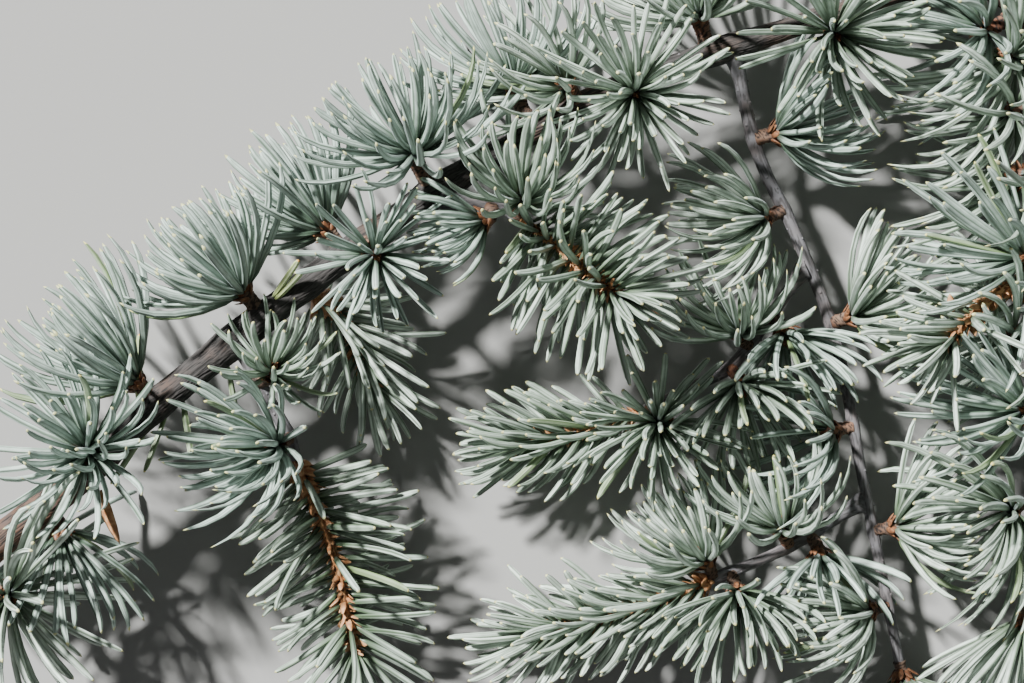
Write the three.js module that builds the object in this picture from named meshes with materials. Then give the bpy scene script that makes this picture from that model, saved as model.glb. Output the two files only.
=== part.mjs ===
// A cut bough of cedar of Lebanon, lying on a level surface.
// One arching limb and five side twigs carry tufts of needles on short spurs, and long leafy shoots.
// Millimetres, +Z up. The bough lies in the XY plane with its cut end at low X and its drooping
// leader at high X. The origin is under the middle of the whole bough, on the surface.
import * as THREE from "three";
import { mergeVertices } from "three/addons/utils/BufferGeometryUtils.js";

// Wood
const CUT_RADIUS = 2.9; // the main limb at its cut end
const LEADER_RADIUS = 0.95; // the main limb at its tip
const LIMB_SIDES = 8;
const LIMB_STEP = 6; // between the rings of a limb
const TWIG_SIDES = 6;
const GAP = 0.3; // clear space between neighbouring solids

// Needles: three-sided, stouter and fewer than on the living bough
const NEEDLE_RADIUS = 0.76; // from the middle of a needle to its corners
const NEEDLE_BEND = 0.68; // where along its length a needle turns inwards
const NEEDLE_CLEAR = 0.12; // between any two needles
const ROOT_SHARE = 0.25; // the part of a needle near its root, where it may touch its own neighbours

// Spurs: the short woody pegs that carry the tufts. A tuft has three whorls of needles.
const FOOT_RADIUS = 1.2;
const WHORL_ROOM = 0.24; // radius of the head for each needle of a whorl
const HEAD_HEIGHT = 1.75;
const SHOULDER_HEIGHT = 1; // where the head turns in towards its top
const SHOULDER_SHARE = 0.74; // its radius there, as a share of the whole
const END_SPUR = 1.5; // height of the spur of a tuft that ends a limb

// How wide the lowest whorl stands, in degrees from the axis: old spurs are taller, and open wider
const YOUNG = { spur: 2, angle: 62 };
const OLD = { spur: 4.5, angle: 90 };
const WHORL_SHARES = [1, 0.64, 0.28]; // how wide each whorl stands against the lowest
const INWARD = 0.6; // share of that angle that is left beyond a needle's bend
const AIM_JITTER = 9; // degrees
const SIZE_JITTER = 0.07; // share of a needle's length

// Long shoots: single needles in a spiral along a thin stem, and a tuft at its end
const SHOOT_RADIUS = 0.95;
const SHOOT_SIDES = 5;
const SHOOT_BAND = 2.8; // length of stem to one band of faces
const SHOOT_INWARD = 0.7;
const SHOOT_END_ANGLE = 22;
const BAND_NEEDLES = 3; // needles to a band

// Another aim for a needle that would touch a neighbour: degrees round the axis and away from it
const OTHER_AIMS = [[0, 0], [8, 0], [-8, 0], [0, -8], [14, -5], [-14, -5], [0, 8], [18, 6], [-18, 6]];

// The generator of random numbers, and how nearly parallel two rods may be
const RANDOM_SPAN = 2 ** 32;
const RANDOM_FACTOR = 1664525;
const RANDOM_STEP = 1013904223;
const PARALLEL = 1e-9;

const degrees = Math.PI / 180;
const UP = new THREE.Vector3(0, 0, 1);
const BARK = { color: 0x5a4a40, roughness: 0.9, metalness: 0 };
const FOLIAGE = { color: 0x8ca39f, roughness: 0.6, metalness: 0 };

// The middle line of the main limb, from the cut end over the arch to the drooping tip
const MAIN_LINE = [
  [-95.7, -41.1, 17],
  [-73, -23.4, 19.5],
  [-60, -11.2, 20.5],
  [-35.3, 8.6, 21.5],
  [-11.2, 25.9, 21],
  [14.7, 41.1, 19],
  [45.5, 52.2, 17],
  [70, 59.5, 16],
  [83, 57.5, 16],
  [89.6, 43, 17],
  [89.6, 20.2, 18],
  [88.6, -10, 17],
  [86.7, -45, 14],
];
const SPLITS = [108, 217]; // where the main limb is parted, from its cut end; the second is at the bend

// Side twigs: where each leaves its limb, the line it follows from there, and its two radii
const TWIGS = {
  twig_left: {
    on: "main", at: 65,
    line: [[-42.2, -7, 20], [-37.8, -14.8, 18.5], [-36, -20.1, 17.5]],
    radii: [1.35, 1],
  },
  twig_front: {
    on: "main", at: 107,
    line: [[-2, 22.4, 24], [1.2, 20.4, 25]],
    radii: [1.3, 1.05],
  },
  twig_hanging: {
    on: "main", at: 162,
    line: [[41.5, 32.1, 13], [48.4, 17.5, 11.5], [55, 0, 11], [59.8, -24.5, 11], [66, -55, 10]],
    radii: [1.15, 0.85],
  },
  twig_behind: {
    on: "twig_hanging", at: 38,
    line: [[38, -3.5, 10], [30, -8, 10], [21.5, -12.4, 10.5]],
    radii: [1.05, 0.85],
  },
  twig_low: {
    on: "twig_hanging", at: 79,
    line: [[46, -35.5, 10], [34, -40.5, 10]],
    radii: [1.05, 0.9],
  },
};

// Tufts: the limb that carries them, how far along it, the bearing of the tuft's axis in the XY plane,
// its rise above that plane, the height of its spur, the length of its needles and how many make a whorl
const TUFTS = {
  main: [
    { at: 8.5, bearing: -34, rise: 26, spur: 6, reach: 25, whorl: 7 },
    { at: 22, bearing: -86, rise: -26, spur: 2, reach: 20, whorl: 7 },
    { at: 35.5, bearing: 152, rise: 74, spur: 4, reach: 17.5, whorl: 8 },
    { at: 48, bearing: 140, rise: 14, spur: 2, reach: 23, whorl: 8 },
    { at: 71, bearing: 136, rise: 14, spur: 2.5, reach: 20, whorl: 8 },
    { at: 88, bearing: 134, rise: -12, spur: 2.5, reach: 20, whorl: 7 },
    { at: 92, bearing: -50, rise: 64, spur: 4.5, reach: 13.5, whorl: 6 },
    { at: 106, bearing: 106, rise: 30, spur: 6, reach: 19, whorl: 8 },
    { at: 126, bearing: 104, rise: -14, spur: 6, reach: 20, whorl: 6 },
    { at: 134, bearing: 150, rise: 38, spur: 2.5, reach: 19, whorl: 7 },
    { at: 143, bearing: -70, rise: 72, spur: 5, reach: 16.5, whorl: 8 },
    { at: 158, bearing: 106, rise: 8, spur: 4, reach: 20, whorl: 7 },
    { at: 178, bearing: -62, rise: 56, spur: 4, reach: 18, whorl: 7 },
    { at: 192, bearing: 98, rise: -2, spur: 3, reach: 20, whorl: 6 },
    { at: 213, bearing: 200, rise: 2, spur: 4.5, reach: 23, whorl: 7 },
    { at: 208, bearing: 50, rise: 12, spur: 3, reach: 20, whorl: 6 },
    { at: 221, bearing: 182, rise: 40, spur: 5, reach: 23, whorl: 8 },
    { at: 231, bearing: 178, rise: 0, spur: 4.5, reach: 23, whorl: 7 },
    { at: 239, bearing: -8, rise: 4, spur: 3, reach: 20, whorl: 6 },
    { at: 243, bearing: 166, rise: 34, spur: 5, reach: 23, whorl: 8 },
    { at: 256, bearing: 178, rise: 58, spur: 7, reach: 22, whorl: 7 },
    { at: 265, bearing: 2, rise: 4, spur: 3, reach: 20, whorl: 6 },
    { at: 281, bearing: 176, rise: 60, spur: 5, reach: 21, whorl: 7 },
    { at: 297, bearing: 214, rise: 20, spur: 3.5, reach: 22, whorl: 7 },
    { at: 292, bearing: -12, rise: 8, spur: 3, reach: 20, whorl: 6 },
    { at: 268, bearing: 186, rise: 12, spur: 4, reach: 21, whorl: 6 },
  ],
  twig_left: [
    { at: 5, bearing: 55, rise: 52, spur: 4, reach: 12, whorl: 6 },
    { at: 16, bearing: 200, rise: 54, spur: 2.5, reach: 18, whorl: 7 },
  ],
  twig_front: [
    { at: 8, bearing: 206, rise: 8, spur: 2, reach: 13, whorl: 6 },
    { at: 12.5, bearing: 74, rise: 46, spur: 2.5, reach: 17, whorl: 7 },
  ],
  twig_hanging: [
    { at: 14, bearing: 12, rise: 14, spur: 2.5, reach: 18, whorl: 6 },
    { at: 27, bearing: 196, rise: 20, spur: 2.5, reach: 18, whorl: 6 },
    { at: 48, bearing: 20, rise: 22, spur: 2.5, reach: 18, whorl: 6 },
    { at: 66, bearing: 192, rise: 18, spur: 2.5, reach: 18, whorl: 6 },
    { at: 84, bearing: 10, rise: 16, spur: 2.5, reach: 18, whorl: 6 },
    { at: 97, bearing: 196, rise: 20, spur: 2.5, reach: 18, whorl: 6 },
  ],
  twig_behind: [
    { at: 15.5, bearing: 100, rise: 36, spur: 2.5, reach: 17, whorl: 6 },
    { at: 20.5, bearing: -72, rise: 32, spur: 2.5, reach: 17, whorl: 6 },
    { at: 9.5, bearing: -76, rise: 16, spur: 2.5, reach: 17, whorl: 6 },
    { at: 36, bearing: -60, rise: 62, spur: 4, reach: 15, whorl: 7 },
  ],
  twig_low: [
    { at: 14, bearing: 98, rise: 30, spur: 2.5, reach: 17, whorl: 6 },
    { at: 25, bearing: -84, rise: 30, spur: 2.5, reach: 17, whorl: 6 },
    { at: 10, bearing: -80, rise: 16, spur: 2.5, reach: 17, whorl: 6 },
    { at: 28, bearing: 122, rise: 18, spur: 2.5, reach: 17, whorl: 7 },
  ],
};

// Tufts that end a limb or twig, along its last heading
const END_TUFTS = {
  main: { rise: -6, reach: 20, whorl: 6 },
  twig_hanging: { rise: 0, reach: 18, whorl: 6 },
};

// Long leafy shoots: most go on from a twig's tip, and two leave the main limb sideways. Each has the
// line it follows, the length of its needles and how wide they stand from its stem, in degrees.
const SHOOTS = {
  shoot_left: {
    from: "twig_left",
    line: [[-33.4, -26.5, 17], [-29.6, -37, 16], [-27.9, -45.5, 15], [-26.4, -52.5, 14]],
    reach: 15,
    angle: 70,
  },
  shoot_front: {
    from: "twig_front",
    line: [[6.3, 16.4, 28.5], [11.6, 12, 32.5], [17, 7.4, 37]],
    reach: 15,
    angle: 72,
  },
  shoot_under: { on: "main", at: 80, line: [[-27.8, 2.5, 13], [-24.2, -7, 10]], reach: 14, angle: 46 },
  shoot_right: { on: "main", at: 262, line: [[81, 8.6, 25], [71, -0.5, 28]], reach: 15, angle: 68 },
  shoot_behind: {
    from: "twig_behind",
    line: [[13, -15, 11], [1, -17.5, 11.5]],
    reach: 13,
    angle: 52,
  },
  shoot_low: {
    from: "twig_low",
    line: [[27, -43.5, 10], [15, -47, 10.5], [3, -50, 11]],
    reach: 13,
    angle: 52,
  },
};

// A generator of numbers from 0 to 1 that gives the same row of them for the same seed
function seeded(seed) {
  let state = seed;
  return () => {
    state = (Math.imul(state, RANDOM_FACTOR) + RANDOM_STEP) >>> 0;
    return state / RANDOM_SPAN;
  };
}

// A share of a length, kept from 0 to 1
const within = (share) => THREE.MathUtils.clamp(share, 0, 1);

// A smooth line through points, with its place and heading at a distance from its start
function smoothLine(points) {
  const curve = new THREE.CatmullRomCurve3(points, false, "catmullrom");
  const length = curve.getLength();
  return {
    length,
    place: (distance) => curve.getPointAt(within(distance / length)),
    heading: (distance) => curve.getTangentAt(within(distance / length)),
  };
}

// The way that has a bearing in the XY plane and a rise above it, both in degrees
function aim(bearing, rise) {
  const flat = Math.cos(rise * degrees);
  return new THREE.Vector3(
    flat * Math.cos(bearing * degrees), flat * Math.sin(bearing * degrees), Math.sin(rise * degrees),
  );
}

// The part of a direction that is square to another one
function square(direction, other) {
  return direction.clone().addScaledVector(other, -direction.dot(other)).normalize();
}

// Points in a circle round a middle, square to a direction, anticlockwise as seen from ahead
function ring(middle, direction, radius, sides, guide = UP, turn = 0) {
  const across = square(guide, direction);
  const over = new THREE.Vector3().crossVectors(direction, across);
  return Array.from({ length: sides }, (_, k) => {
    const angle = (2 * Math.PI * k) / sides + turn;
    return middle.clone()
      .addScaledVector(across, radius * Math.cos(angle))
      .addScaledVector(over, radius * Math.sin(angle));
  });
}

function meshOf(name, points, faces, finish) {
  const geometry = new THREE.BufferGeometry();
  geometry.setAttribute("position", new THREE.Float32BufferAttribute(points.flatMap((p) => p.toArray()), 3));
  geometry.setIndex(faces.flat());
  const mesh = new THREE.Mesh(mergeVertices(geometry), new THREE.MeshStandardMaterial(finish));
  mesh.name = name;
  return mesh;
}

// The limbs, each with its line and its radius at a distance from its start
const limbs = {};

function addLimb(name, points, firstRadius, lastRadius) {
  const line = smoothLine(points);
  const radius = (distance) => firstRadius + ((lastRadius - firstRadius) * distance) / line.length;
  limbs[name] = { ...line, radius };
}

// Where a stem that heads a given way leaves a limb, clear of its bark
function seat(limb, at, heading) {
  const away = square(heading, limb.heading(at));
  return { foot: limb.place(at).addScaledVector(away, limb.radius(at) + GAP), away };
}

// A closed tapering solid along a limb, with a flat face at each end
function limbMesh(name, limb, from, to, sides, firstWay) {
  const steps = Math.ceil((to - from) / LIMB_STEP);
  const points = [];
  const faces = [];
  for (let k = 0; k <= steps; k += 1) {
    const distance = from + ((to - from) * k) / steps;
    const way = k === 0 && firstWay ? firstWay : limb.heading(distance);
    points.push(...ring(limb.place(distance), way, limb.radius(distance), sides));
  }
  const last = steps * sides;
  for (let here = 0; here < last; here += 1) {
    const next = here + 1 - ((here + 1) % sides === 0 ? sides : 0);
    faces.push([here, next, next + sides], [here, next + sides, here + sides]);
  }
  for (let k = 1; k + 1 < sides; k += 1) {
    faces.push([0, k + 1, k], [last, last + k, last + k + 1]);
  }
  return meshOf(name, points, faces, BARK);
}

// Every needle, stem and limb as rods, for keeping the masses and their needles apart
const rods = [];

function addRodsAlong(owner, line, radius) {
  for (let distance = 0; distance < line.length; distance += LIMB_STEP / 2) {
    const from = line.place(distance);
    const to = line.place(Math.min(distance + LIMB_STEP / 2, line.length));
    rods.push({ owner, from, clearOfRoot: from, to, radius: radius(distance) });
  }
}

// The shortest distance between two rods' middle lines. On one mass they are taken clear of the roots.
function between(first, second) {
  const isOwn = first.owner === second.owner;
  const firstFrom = isOwn ? first.clearOfRoot : first.from;
  const secondFrom = isOwn ? second.clearOfRoot : second.from;
  const firstWay = first.to.clone().sub(firstFrom);
  const secondWay = second.to.clone().sub(secondFrom);
  const apart = firstFrom.clone().sub(secondFrom);
  const firstSquare = firstWay.lengthSq();
  const secondSquare = secondWay.lengthSq();
  const both = firstWay.dot(secondWay);
  const firstApart = firstWay.dot(apart);
  const secondApart = secondWay.dot(apart);
  const slant = firstSquare * secondSquare - both * both;
  const meeting = slant > PARALLEL ? (both * secondApart - firstApart * secondSquare) / slant : 0;
  const onSecond = within((both * within(meeting) + secondApart) / secondSquare);
  const onFirst = within((both * onSecond - firstApart) / firstSquare);
  return apart.addScaledVector(firstWay, onFirst).addScaledVector(secondWay, -onSecond).length();
}

function isClear(rod) {
  return rods.every((other) => between(rod, other) > rod.radius + other.radius + NEEDLE_CLEAR);
}

// The stem of a mass: rings of points from its foot up, with a band of faces between each two.
// Each ring is turned half a step from the one before, so that the faces are three-sided.
function stemSkin(stations, sides, guide) {
  const points = stations.flatMap(({ middle, way, radius }, k) => (
    ring(middle, way, radius, sides, guide, (k * Math.PI) / sides)));
  const bands = [];
  for (let k = 0; k + 1 < stations.length; k += 1) {
    const low = k * sides;
    const high = low + sides;
    const faces = [];
    for (let side = 0; side < sides; side += 1) {
      const next = (side + 1) % sides;
      faces.push([low + side, low + next, high + side], [low + next, high + next, high + side]);
    }
    bands.push(faces);
  }
  const foot = Array.from({ length: sides - 2 }, (_, k) => [0, k + 2, k + 1]);
  return { points, bands, foot };
}

// Closes a stem with a crown of faces that rise from its last ring to a point
function addCrown(skin, stations, sides) {
  const { middle, way } = stations.at(-1);
  const low = skin.points.length - sides;
  const top = skin.points.length;
  skin.points.push(middle.clone().addScaledVector(way, HEAD_HEIGHT - SHOULDER_HEIGHT));
  skin.bands.push(Array.from({ length: sides }, (_, k) => [low + k, low + ((k + 1) % sides), top]));
}

const masses = [];

// A wish for one needle on a face: the needle that would grow there at a given change of aim
function wishOn(skin, face, middle, axis, away, inward, length, random) {
  const corners = face.map((k) => skin.points[k]);
  const root = corners.reduce((sum, corner) => sum.add(corner), new THREE.Vector3()).divideScalar(3);
  const out = square(root.clone().sub(middle), axis);
  const over = new THREE.Vector3().crossVectors(axis, out);
  const round = (random() - 0.5) * 2 * AIM_JITTER;
  const tilt = (random() - 0.5) * AIM_JITTER;
  const reach = length * (1 + (random() - 0.5) * 2 * SIZE_JITTER);
  const way = (turn, angle) => axis.clone().multiplyScalar(Math.cos(angle * degrees))
    .addScaledVector(out, Math.sin(angle * degrees) * Math.cos((round + turn) * degrees))
    .addScaledVector(over, Math.sin(angle * degrees) * Math.sin((round + turn) * degrees));
  const needle = (turn, lean) => {
    const angle = away + tilt + lean;
    const bend = root.clone().addScaledVector(way(turn, angle), reach * NEEDLE_BEND);
    bend.z = Math.max(bend.z, NEEDLE_RADIUS);
    const tip = bend.clone().addScaledVector(way(turn, angle * inward), reach * (1 - NEEDLE_BEND));
    tip.z = Math.max(tip.z, 0);
    return { root, bend, tip };
  };
  return { face, corners, needle };
}

// A tuft on its spur: away is square to the limb's bark, axis is the way that the tuft looks
function addTuft(name, foot, away, axis, guide, { spur, reach, whorl }) {
  const radius = WHORL_ROOM * whorl;
  const head = foot.clone().addScaledVector(away, spur / 2).addScaledVector(axis, spur / 2);
  const shoulder = head.clone().addScaledVector(axis, SHOULDER_HEIGHT);
  const stations = [
    { middle: foot, way: away, radius: FOOT_RADIUS },
    { middle: head, way: axis, radius },
    { middle: shoulder, way: axis, radius: radius * SHOULDER_SHARE },
  ];
  const skin = stemSkin(stations, whorl, guide);
  addCrown(skin, stations, whorl);
  const [bare, sides, crown] = skin.bands;
  const random = seeded(masses.length + 1);
  const widest = THREE.MathUtils.mapLinear(
    THREE.MathUtils.clamp(spur, YOUNG.spur, OLD.spur), YOUNG.spur, OLD.spur, YOUNG.angle, OLD.angle,
  );
  const grow = (share) => (face) => (
    wishOn(skin, face, head, axis, widest * share, INWARD, reach, random));
  const wishes = [
    ...sides.filter((_, k) => k % 2 === 0).map(grow(WHORL_SHARES[0])),
    ...sides.filter((_, k) => k % 2 === 1).map(grow(WHORL_SHARES[1])),
    ...crown.map(grow(WHORL_SHARES[2])),
  ];
  masses.push({ name, skin, bare: [...skin.foot, ...bare], wishes });
  const start = foot.clone().addScaledVector(away, FOOT_RADIUS);
  rods.push({ owner: name, from: start, clearOfRoot: start, to: shoulder, radius });
}

// Whether a face of a shoot's stem carries a needle: three to a band, a step further round in each
function bearsNeedle(face, band) {
  const place = ((face + band) % (2 * SHOOT_SIDES)) - (band % BAND_NEEDLES);
  return place >= 0 && place % BAND_NEEDLES === 0 && place < BAND_NEEDLES * BAND_NEEDLES;
}

// A long shoot: needles in a spiral round its stem, and a few at its end
function addShoot(name, points, firstWay, { reach, angle }) {
  const line = smoothLine(points);
  const steps = Math.round(line.length / SHOOT_BAND);
  const stations = Array.from({ length: steps + 1 }, (_, k) => {
    const distance = (line.length * k) / steps;
    return {
      middle: line.place(distance),
      way: k === 0 ? firstWay : line.heading(distance),
      radius: k === steps ? SHOOT_RADIUS * SHOULDER_SHARE : SHOOT_RADIUS,
    };
  });
  const skin = stemSkin(stations, SHOOT_SIDES, UP);
  addCrown(skin, stations, SHOOT_SIDES);
  const random = seeded(masses.length + 1);
  const bare = [...skin.foot, ...skin.bands[0]];
  const wishes = [];
  skin.bands.slice(1, -1).forEach((faces, k) => {
    const { middle, way } = stations[k + 1];
    faces.forEach((face, side) => {
      if (bearsNeedle(side, k)) {
        wishes.push(wishOn(skin, face, middle, way, angle, SHOOT_INWARD, reach, random));
      } else {
        bare.push(face);
      }
    });
  });
  skin.bands.at(-1).forEach((face) => {
    const end = stations.at(-1);
    wishes.push(wishOn(skin, face, end.middle, end.way, SHOOT_END_ANGLE, INWARD, reach, random));
  });
  masses.push({ name, skin, bare, wishes });
  stations.slice(1).forEach(({ middle: to }, k) => {
    const from = k === 0 ? line.place(SHOOT_RADIUS) : stations[k].middle;
    rods.push({ owner: name, from, clearOfRoot: from, to, radius: SHOOT_RADIUS });
  });
}

// Draws out a face of a stem into a needle: three long sides to its bend, and three to its tip
function drawOut(skin, faces, { face, corners }, { root, bend, tip }) {
  const way = tip.clone().sub(root).normalize();
  const first = skin.points.length;
  corners.forEach((corner) => {
    const aside = square(corner.clone().sub(root), way);
    skin.points.push(bend.clone().addScaledVector(aside, NEEDLE_RADIUS));
  });
  skin.points.push(tip);
  for (let k = 0; k < 3; k += 1) {
    const next = (k + 1) % 3;
    faces.push(
      [face[k], face[next], first + next], [face[k], first + next, first + k],
      [first + k, first + next, first + 3],
    );
  }
}

// Finds room for one needle, trying other aims where the first is taken
function roomFor(owner, wish) {
  for (const [turn, lean] of OTHER_AIMS) {
    const { root, bend, tip } = wish.needle(turn, lean);
    const clearOfRoot = root.clone().lerp(bend, ROOT_SHARE);
    const parts = [
      { owner, from: root, clearOfRoot, to: bend, radius: NEEDLE_RADIUS },
      { owner, from: bend, clearOfRoot: bend, to: tip, radius: NEEDLE_RADIUS },
    ];
    if (parts.every(isClear)) {
      rods.push(...parts);
      return { root, bend, tip };
    }
  }
  return null;
}

// Gives every mass its needles in turn, one at a time. Where one finds no room, its face stays bare.
function growNeedles() {
  const most = Math.max(...masses.map((mass) => mass.wishes.length));
  for (let k = 0; k < most; k += 1) {
    masses.filter((mass) => k < mass.wishes.length).forEach(({ name, skin, bare, wishes }) => {
      const needle = roomFor(name, wishes[k]);
      if (needle) {
        drawOut(skin, bare, wishes[k], needle);
      } else {
        bare.push(wishes[k].face);
      }
    });
  }
}

const vectors = (points) => points.map((point) => new THREE.Vector3(...point));
const bough = new THREE.Group();

// The main limb, in three lengths
addLimb("main", vectors(MAIN_LINE), CUT_RADIUS, LEADER_RADIUS);
const ends = [0, ...SPLITS, limbs.main.length];
["limb_lower", "limb_arch", "limb_drooping"].forEach((name, k, names) => {
  const from = ends[k] + (k > 0 ? GAP / 2 : 0);
  const to = ends[k + 1] - (k + 1 < names.length ? GAP / 2 : 0);
  bough.add(limbMesh(name, limbs.main, from, to, LIMB_SIDES));
});
addRodsAlong("main", limbs.main, limbs.main.radius);

// The side twigs
Object.entries(TWIGS).forEach(([name, { on, at, line, radii }]) => {
  const points = vectors(line);
  const { foot, away } = seat(limbs[on], at, points[0].clone().sub(limbs[on].place(at)));
  addLimb(name, [foot, ...points], ...radii);
  bough.add(limbMesh(name, limbs[name], 0, limbs[name].length, TWIG_SIDES, away));
  addRodsAlong(name, limbs[name], limbs[name].radius);
});

// The tufts along each limb, and at the tips
Object.entries(TUFTS).forEach(([on, rows]) => {
  rows.forEach((row, k) => {
    const axis = aim(row.bearing, row.rise);
    const { foot, away } = seat(limbs[on], row.at, axis);
    addTuft(`tuft_${on.replace("twig_", "")}_${k + 1}`, foot, away, axis, limbs[on].heading(row.at), row);
  });
});
Object.entries(END_TUFTS).forEach(([on, row]) => {
  const limb = limbs[on];
  const way = limb.heading(limb.length);
  const foot = limb.place(limb.length).addScaledVector(way, GAP);
  const axis = aim(Math.atan2(way.y, way.x) / degrees, row.rise);
  addTuft(`tuft_${on.replace("twig_", "")}_end`, foot, way, axis, UP, { spur: END_SPUR, ...row });
});

// The long shoots
Object.entries(SHOOTS).forEach(([name, row]) => {
  const points = vectors(row.line);
  if (row.from) {
    const way = limbs[row.from].heading(limbs[row.from].length);
    const foot = limbs[row.from].place(limbs[row.from].length).addScaledVector(way, GAP);
    addShoot(name, [foot, ...points], way, row);
  } else {
    const { foot, away } = seat(limbs[row.on], row.at, points[0].clone().sub(limbs[row.on].place(row.at)));
    addShoot(name, [foot, ...points], away, row);
  }
});

growNeedles();
masses.forEach(({ name, skin, bare }) => bough.add(meshOf(name, skin.points, bare, FOLIAGE)));

// Puts the origin under the middle of the bough
const box = new THREE.Box3().setFromObject(bough);
const middle = box.getCenter(new THREE.Vector3());
bough.position.set(-middle.x, -middle.y, -box.min.z);

export default bough;
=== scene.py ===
"""The bark, spurs, bud scales and needles of a cut cedar bough, grown round its plain solids.

Layout sizes are in millimetres: X runs from the cut end towards the drooping leader, Y towards the top
of the arch, and Z up from the floor. Meshes are in metres, in the frame's place.
"""
import math

import bpy
import numpy as np
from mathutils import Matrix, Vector


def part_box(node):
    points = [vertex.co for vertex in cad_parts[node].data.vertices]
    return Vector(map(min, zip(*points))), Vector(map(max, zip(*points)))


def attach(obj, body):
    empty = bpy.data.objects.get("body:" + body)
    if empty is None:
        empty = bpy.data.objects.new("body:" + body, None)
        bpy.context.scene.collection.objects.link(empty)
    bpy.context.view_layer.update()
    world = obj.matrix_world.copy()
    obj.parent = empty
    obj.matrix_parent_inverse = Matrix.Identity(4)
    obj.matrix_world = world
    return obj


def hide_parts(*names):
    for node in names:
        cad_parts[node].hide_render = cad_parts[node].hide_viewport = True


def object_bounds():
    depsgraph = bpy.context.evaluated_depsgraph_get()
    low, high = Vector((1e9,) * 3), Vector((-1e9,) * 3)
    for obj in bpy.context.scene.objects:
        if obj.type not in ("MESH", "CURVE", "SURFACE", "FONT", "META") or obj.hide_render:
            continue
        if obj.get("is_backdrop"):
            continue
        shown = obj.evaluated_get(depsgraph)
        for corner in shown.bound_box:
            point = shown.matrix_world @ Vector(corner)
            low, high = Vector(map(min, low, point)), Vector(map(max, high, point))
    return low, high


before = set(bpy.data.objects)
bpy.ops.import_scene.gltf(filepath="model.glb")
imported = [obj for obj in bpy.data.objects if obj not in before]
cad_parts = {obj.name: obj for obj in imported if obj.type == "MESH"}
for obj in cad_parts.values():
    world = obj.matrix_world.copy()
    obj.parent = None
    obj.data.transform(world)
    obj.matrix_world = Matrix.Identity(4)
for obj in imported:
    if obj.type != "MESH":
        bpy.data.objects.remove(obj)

MM = 0.001
UP = np.array([0.0, 0.0, 1.0])
cad_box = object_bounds()

# The middle line of the main limb, from the cut end over the arch to the drooping tip
MAIN_LINE = [
    (-95.7, -41.1, 17), (-73, -23.4, 19.5), (-60, -11.2, 20.5), (-35.3, 8.6, 21.5), (-11.2, 25.9, 21),
    (14.7, 41.1, 19), (45.5, 52.2, 17), (70, 59.5, 16), (83, 57.5, 16), (89.6, 43, 17),
    (89.6, 20.2, 18), (88.6, -10, 17), (86.7, -45, 14),
]
CUT_RADIUS = 2.9
LEADER_RADIUS = 0.95
FIRST_SPLIT = 108  # how far the first of the limb's solids reaches
LIMB_SIDES = 8
LIMB_STEP = 6
GAP = 0.3  # between the solids

# Side twigs: the limb, how far along it, the line that the twig follows, and its two radii
TWIGS = {
    "twig_left": ("main", 65, [(-42.2, -7, 20), (-37.8, -14.8, 18.5), (-36, -20.1, 17.5)], (1.35, 1)),
    "twig_front": ("main", 107, [(-2, 22.4, 24), (1.2, 20.4, 25)], (1.3, 1.05)),
    "twig_hanging": (
        "main", 162,
        [(41.5, 32.1, 13), (48.4, 17.5, 11.5), (55, 0, 11), (59.8, -24.5, 11), (66, -55, 10)],
        (1.15, 0.85)),
    "twig_behind": (
        "twig_hanging", 38, [(38, -3.5, 10), (30, -8, 10), (21.5, -12.4, 10.5)], (1.05, 0.85)),
    "twig_low": ("twig_hanging", 79, [(46, -35.5, 10), (34, -40.5, 10)], (1.05, 0.9)),
}

# Tufts: how far along the limb, bearing and rise of the tuft's axis, height of its spur, length of its
# needles, and how many needles its solid has to a whorl
TUFTS = {
    "main": [
        (8.5, -34, 26, 6, 25, 7), (22, -86, -26, 2, 20, 7), (35.5, 152, 74, 4, 17.5, 8),
        (48, 140, 14, 2, 23, 8), (71, 136, 14, 2.5, 20, 8), (88, 134, -12, 2.5, 20, 7),
        (92, -50, 64, 4.5, 13.5, 6), (106, 106, 30, 6, 19, 8), (126, 104, -14, 6, 20, 6),
        (134, 150, 38, 2.5, 19, 7), (143, -70, 72, 5, 16.5, 8), (158, 106, 8, 4, 20, 7),
        (178, -62, 56, 4, 18, 7), (192, 98, -2, 3, 20, 6),
        (213, 200, 2, 4.5, 23, 7), (208, 50, 12, 3, 20, 6), (221, 182, 40, 5, 23, 8),
        (231, 178, 0, 4.5, 23, 7), (239, -8, 4, 3, 20, 6), (243, 166, 34, 5, 23, 8),
        (256, 178, 58, 7, 22, 7), (265, 2, 4, 3, 20, 6),
        (281, 176, 60, 5, 21, 7), (297, 214, 20, 3.5, 22, 7), (292, -12, 8, 3, 20, 6),
        (268, 186, 12, 4, 21, 6),
    ],
    "twig_left": [(5, 55, 52, 4, 12, 6), (16, 200, 54, 2.5, 18, 7)],
    "twig_front": [(8, 206, 8, 2, 13, 6), (12.5, 74, 46, 2.5, 17, 7)],
    "twig_hanging": [
        (14, 12, 14, 2.5, 18, 6), (27, 196, 20, 2.5, 18, 6), (48, 20, 22, 2.5, 18, 6),
        (66, 192, 18, 2.5, 18, 6), (84, 10, 16, 2.5, 18, 6), (97, 196, 20, 2.5, 18, 6),
    ],
    "twig_behind": [
        (15.5, 100, 36, 2.5, 17, 6), (20.5, -72, 32, 2.5, 17, 6), (9.5, -76, 16, 2.5, 17, 6),
        (36, -60, 62, 4, 15, 7),
    ],
    "twig_low": [
        (14, 98, 30, 2.5, 17, 6), (25, -84, 30, 2.5, 17, 6), (10, -80, 16, 2.5, 17, 6),
        (28, 122, 18, 2.5, 17, 7),
    ],
}
END_SPUR = 1.5
# Tufts that end a limb or twig: rise, length of needles, and needles to a whorl
END_TUFTS = {"main": (-6, 20, 6), "twig_hanging": (0, 18, 6)}

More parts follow.
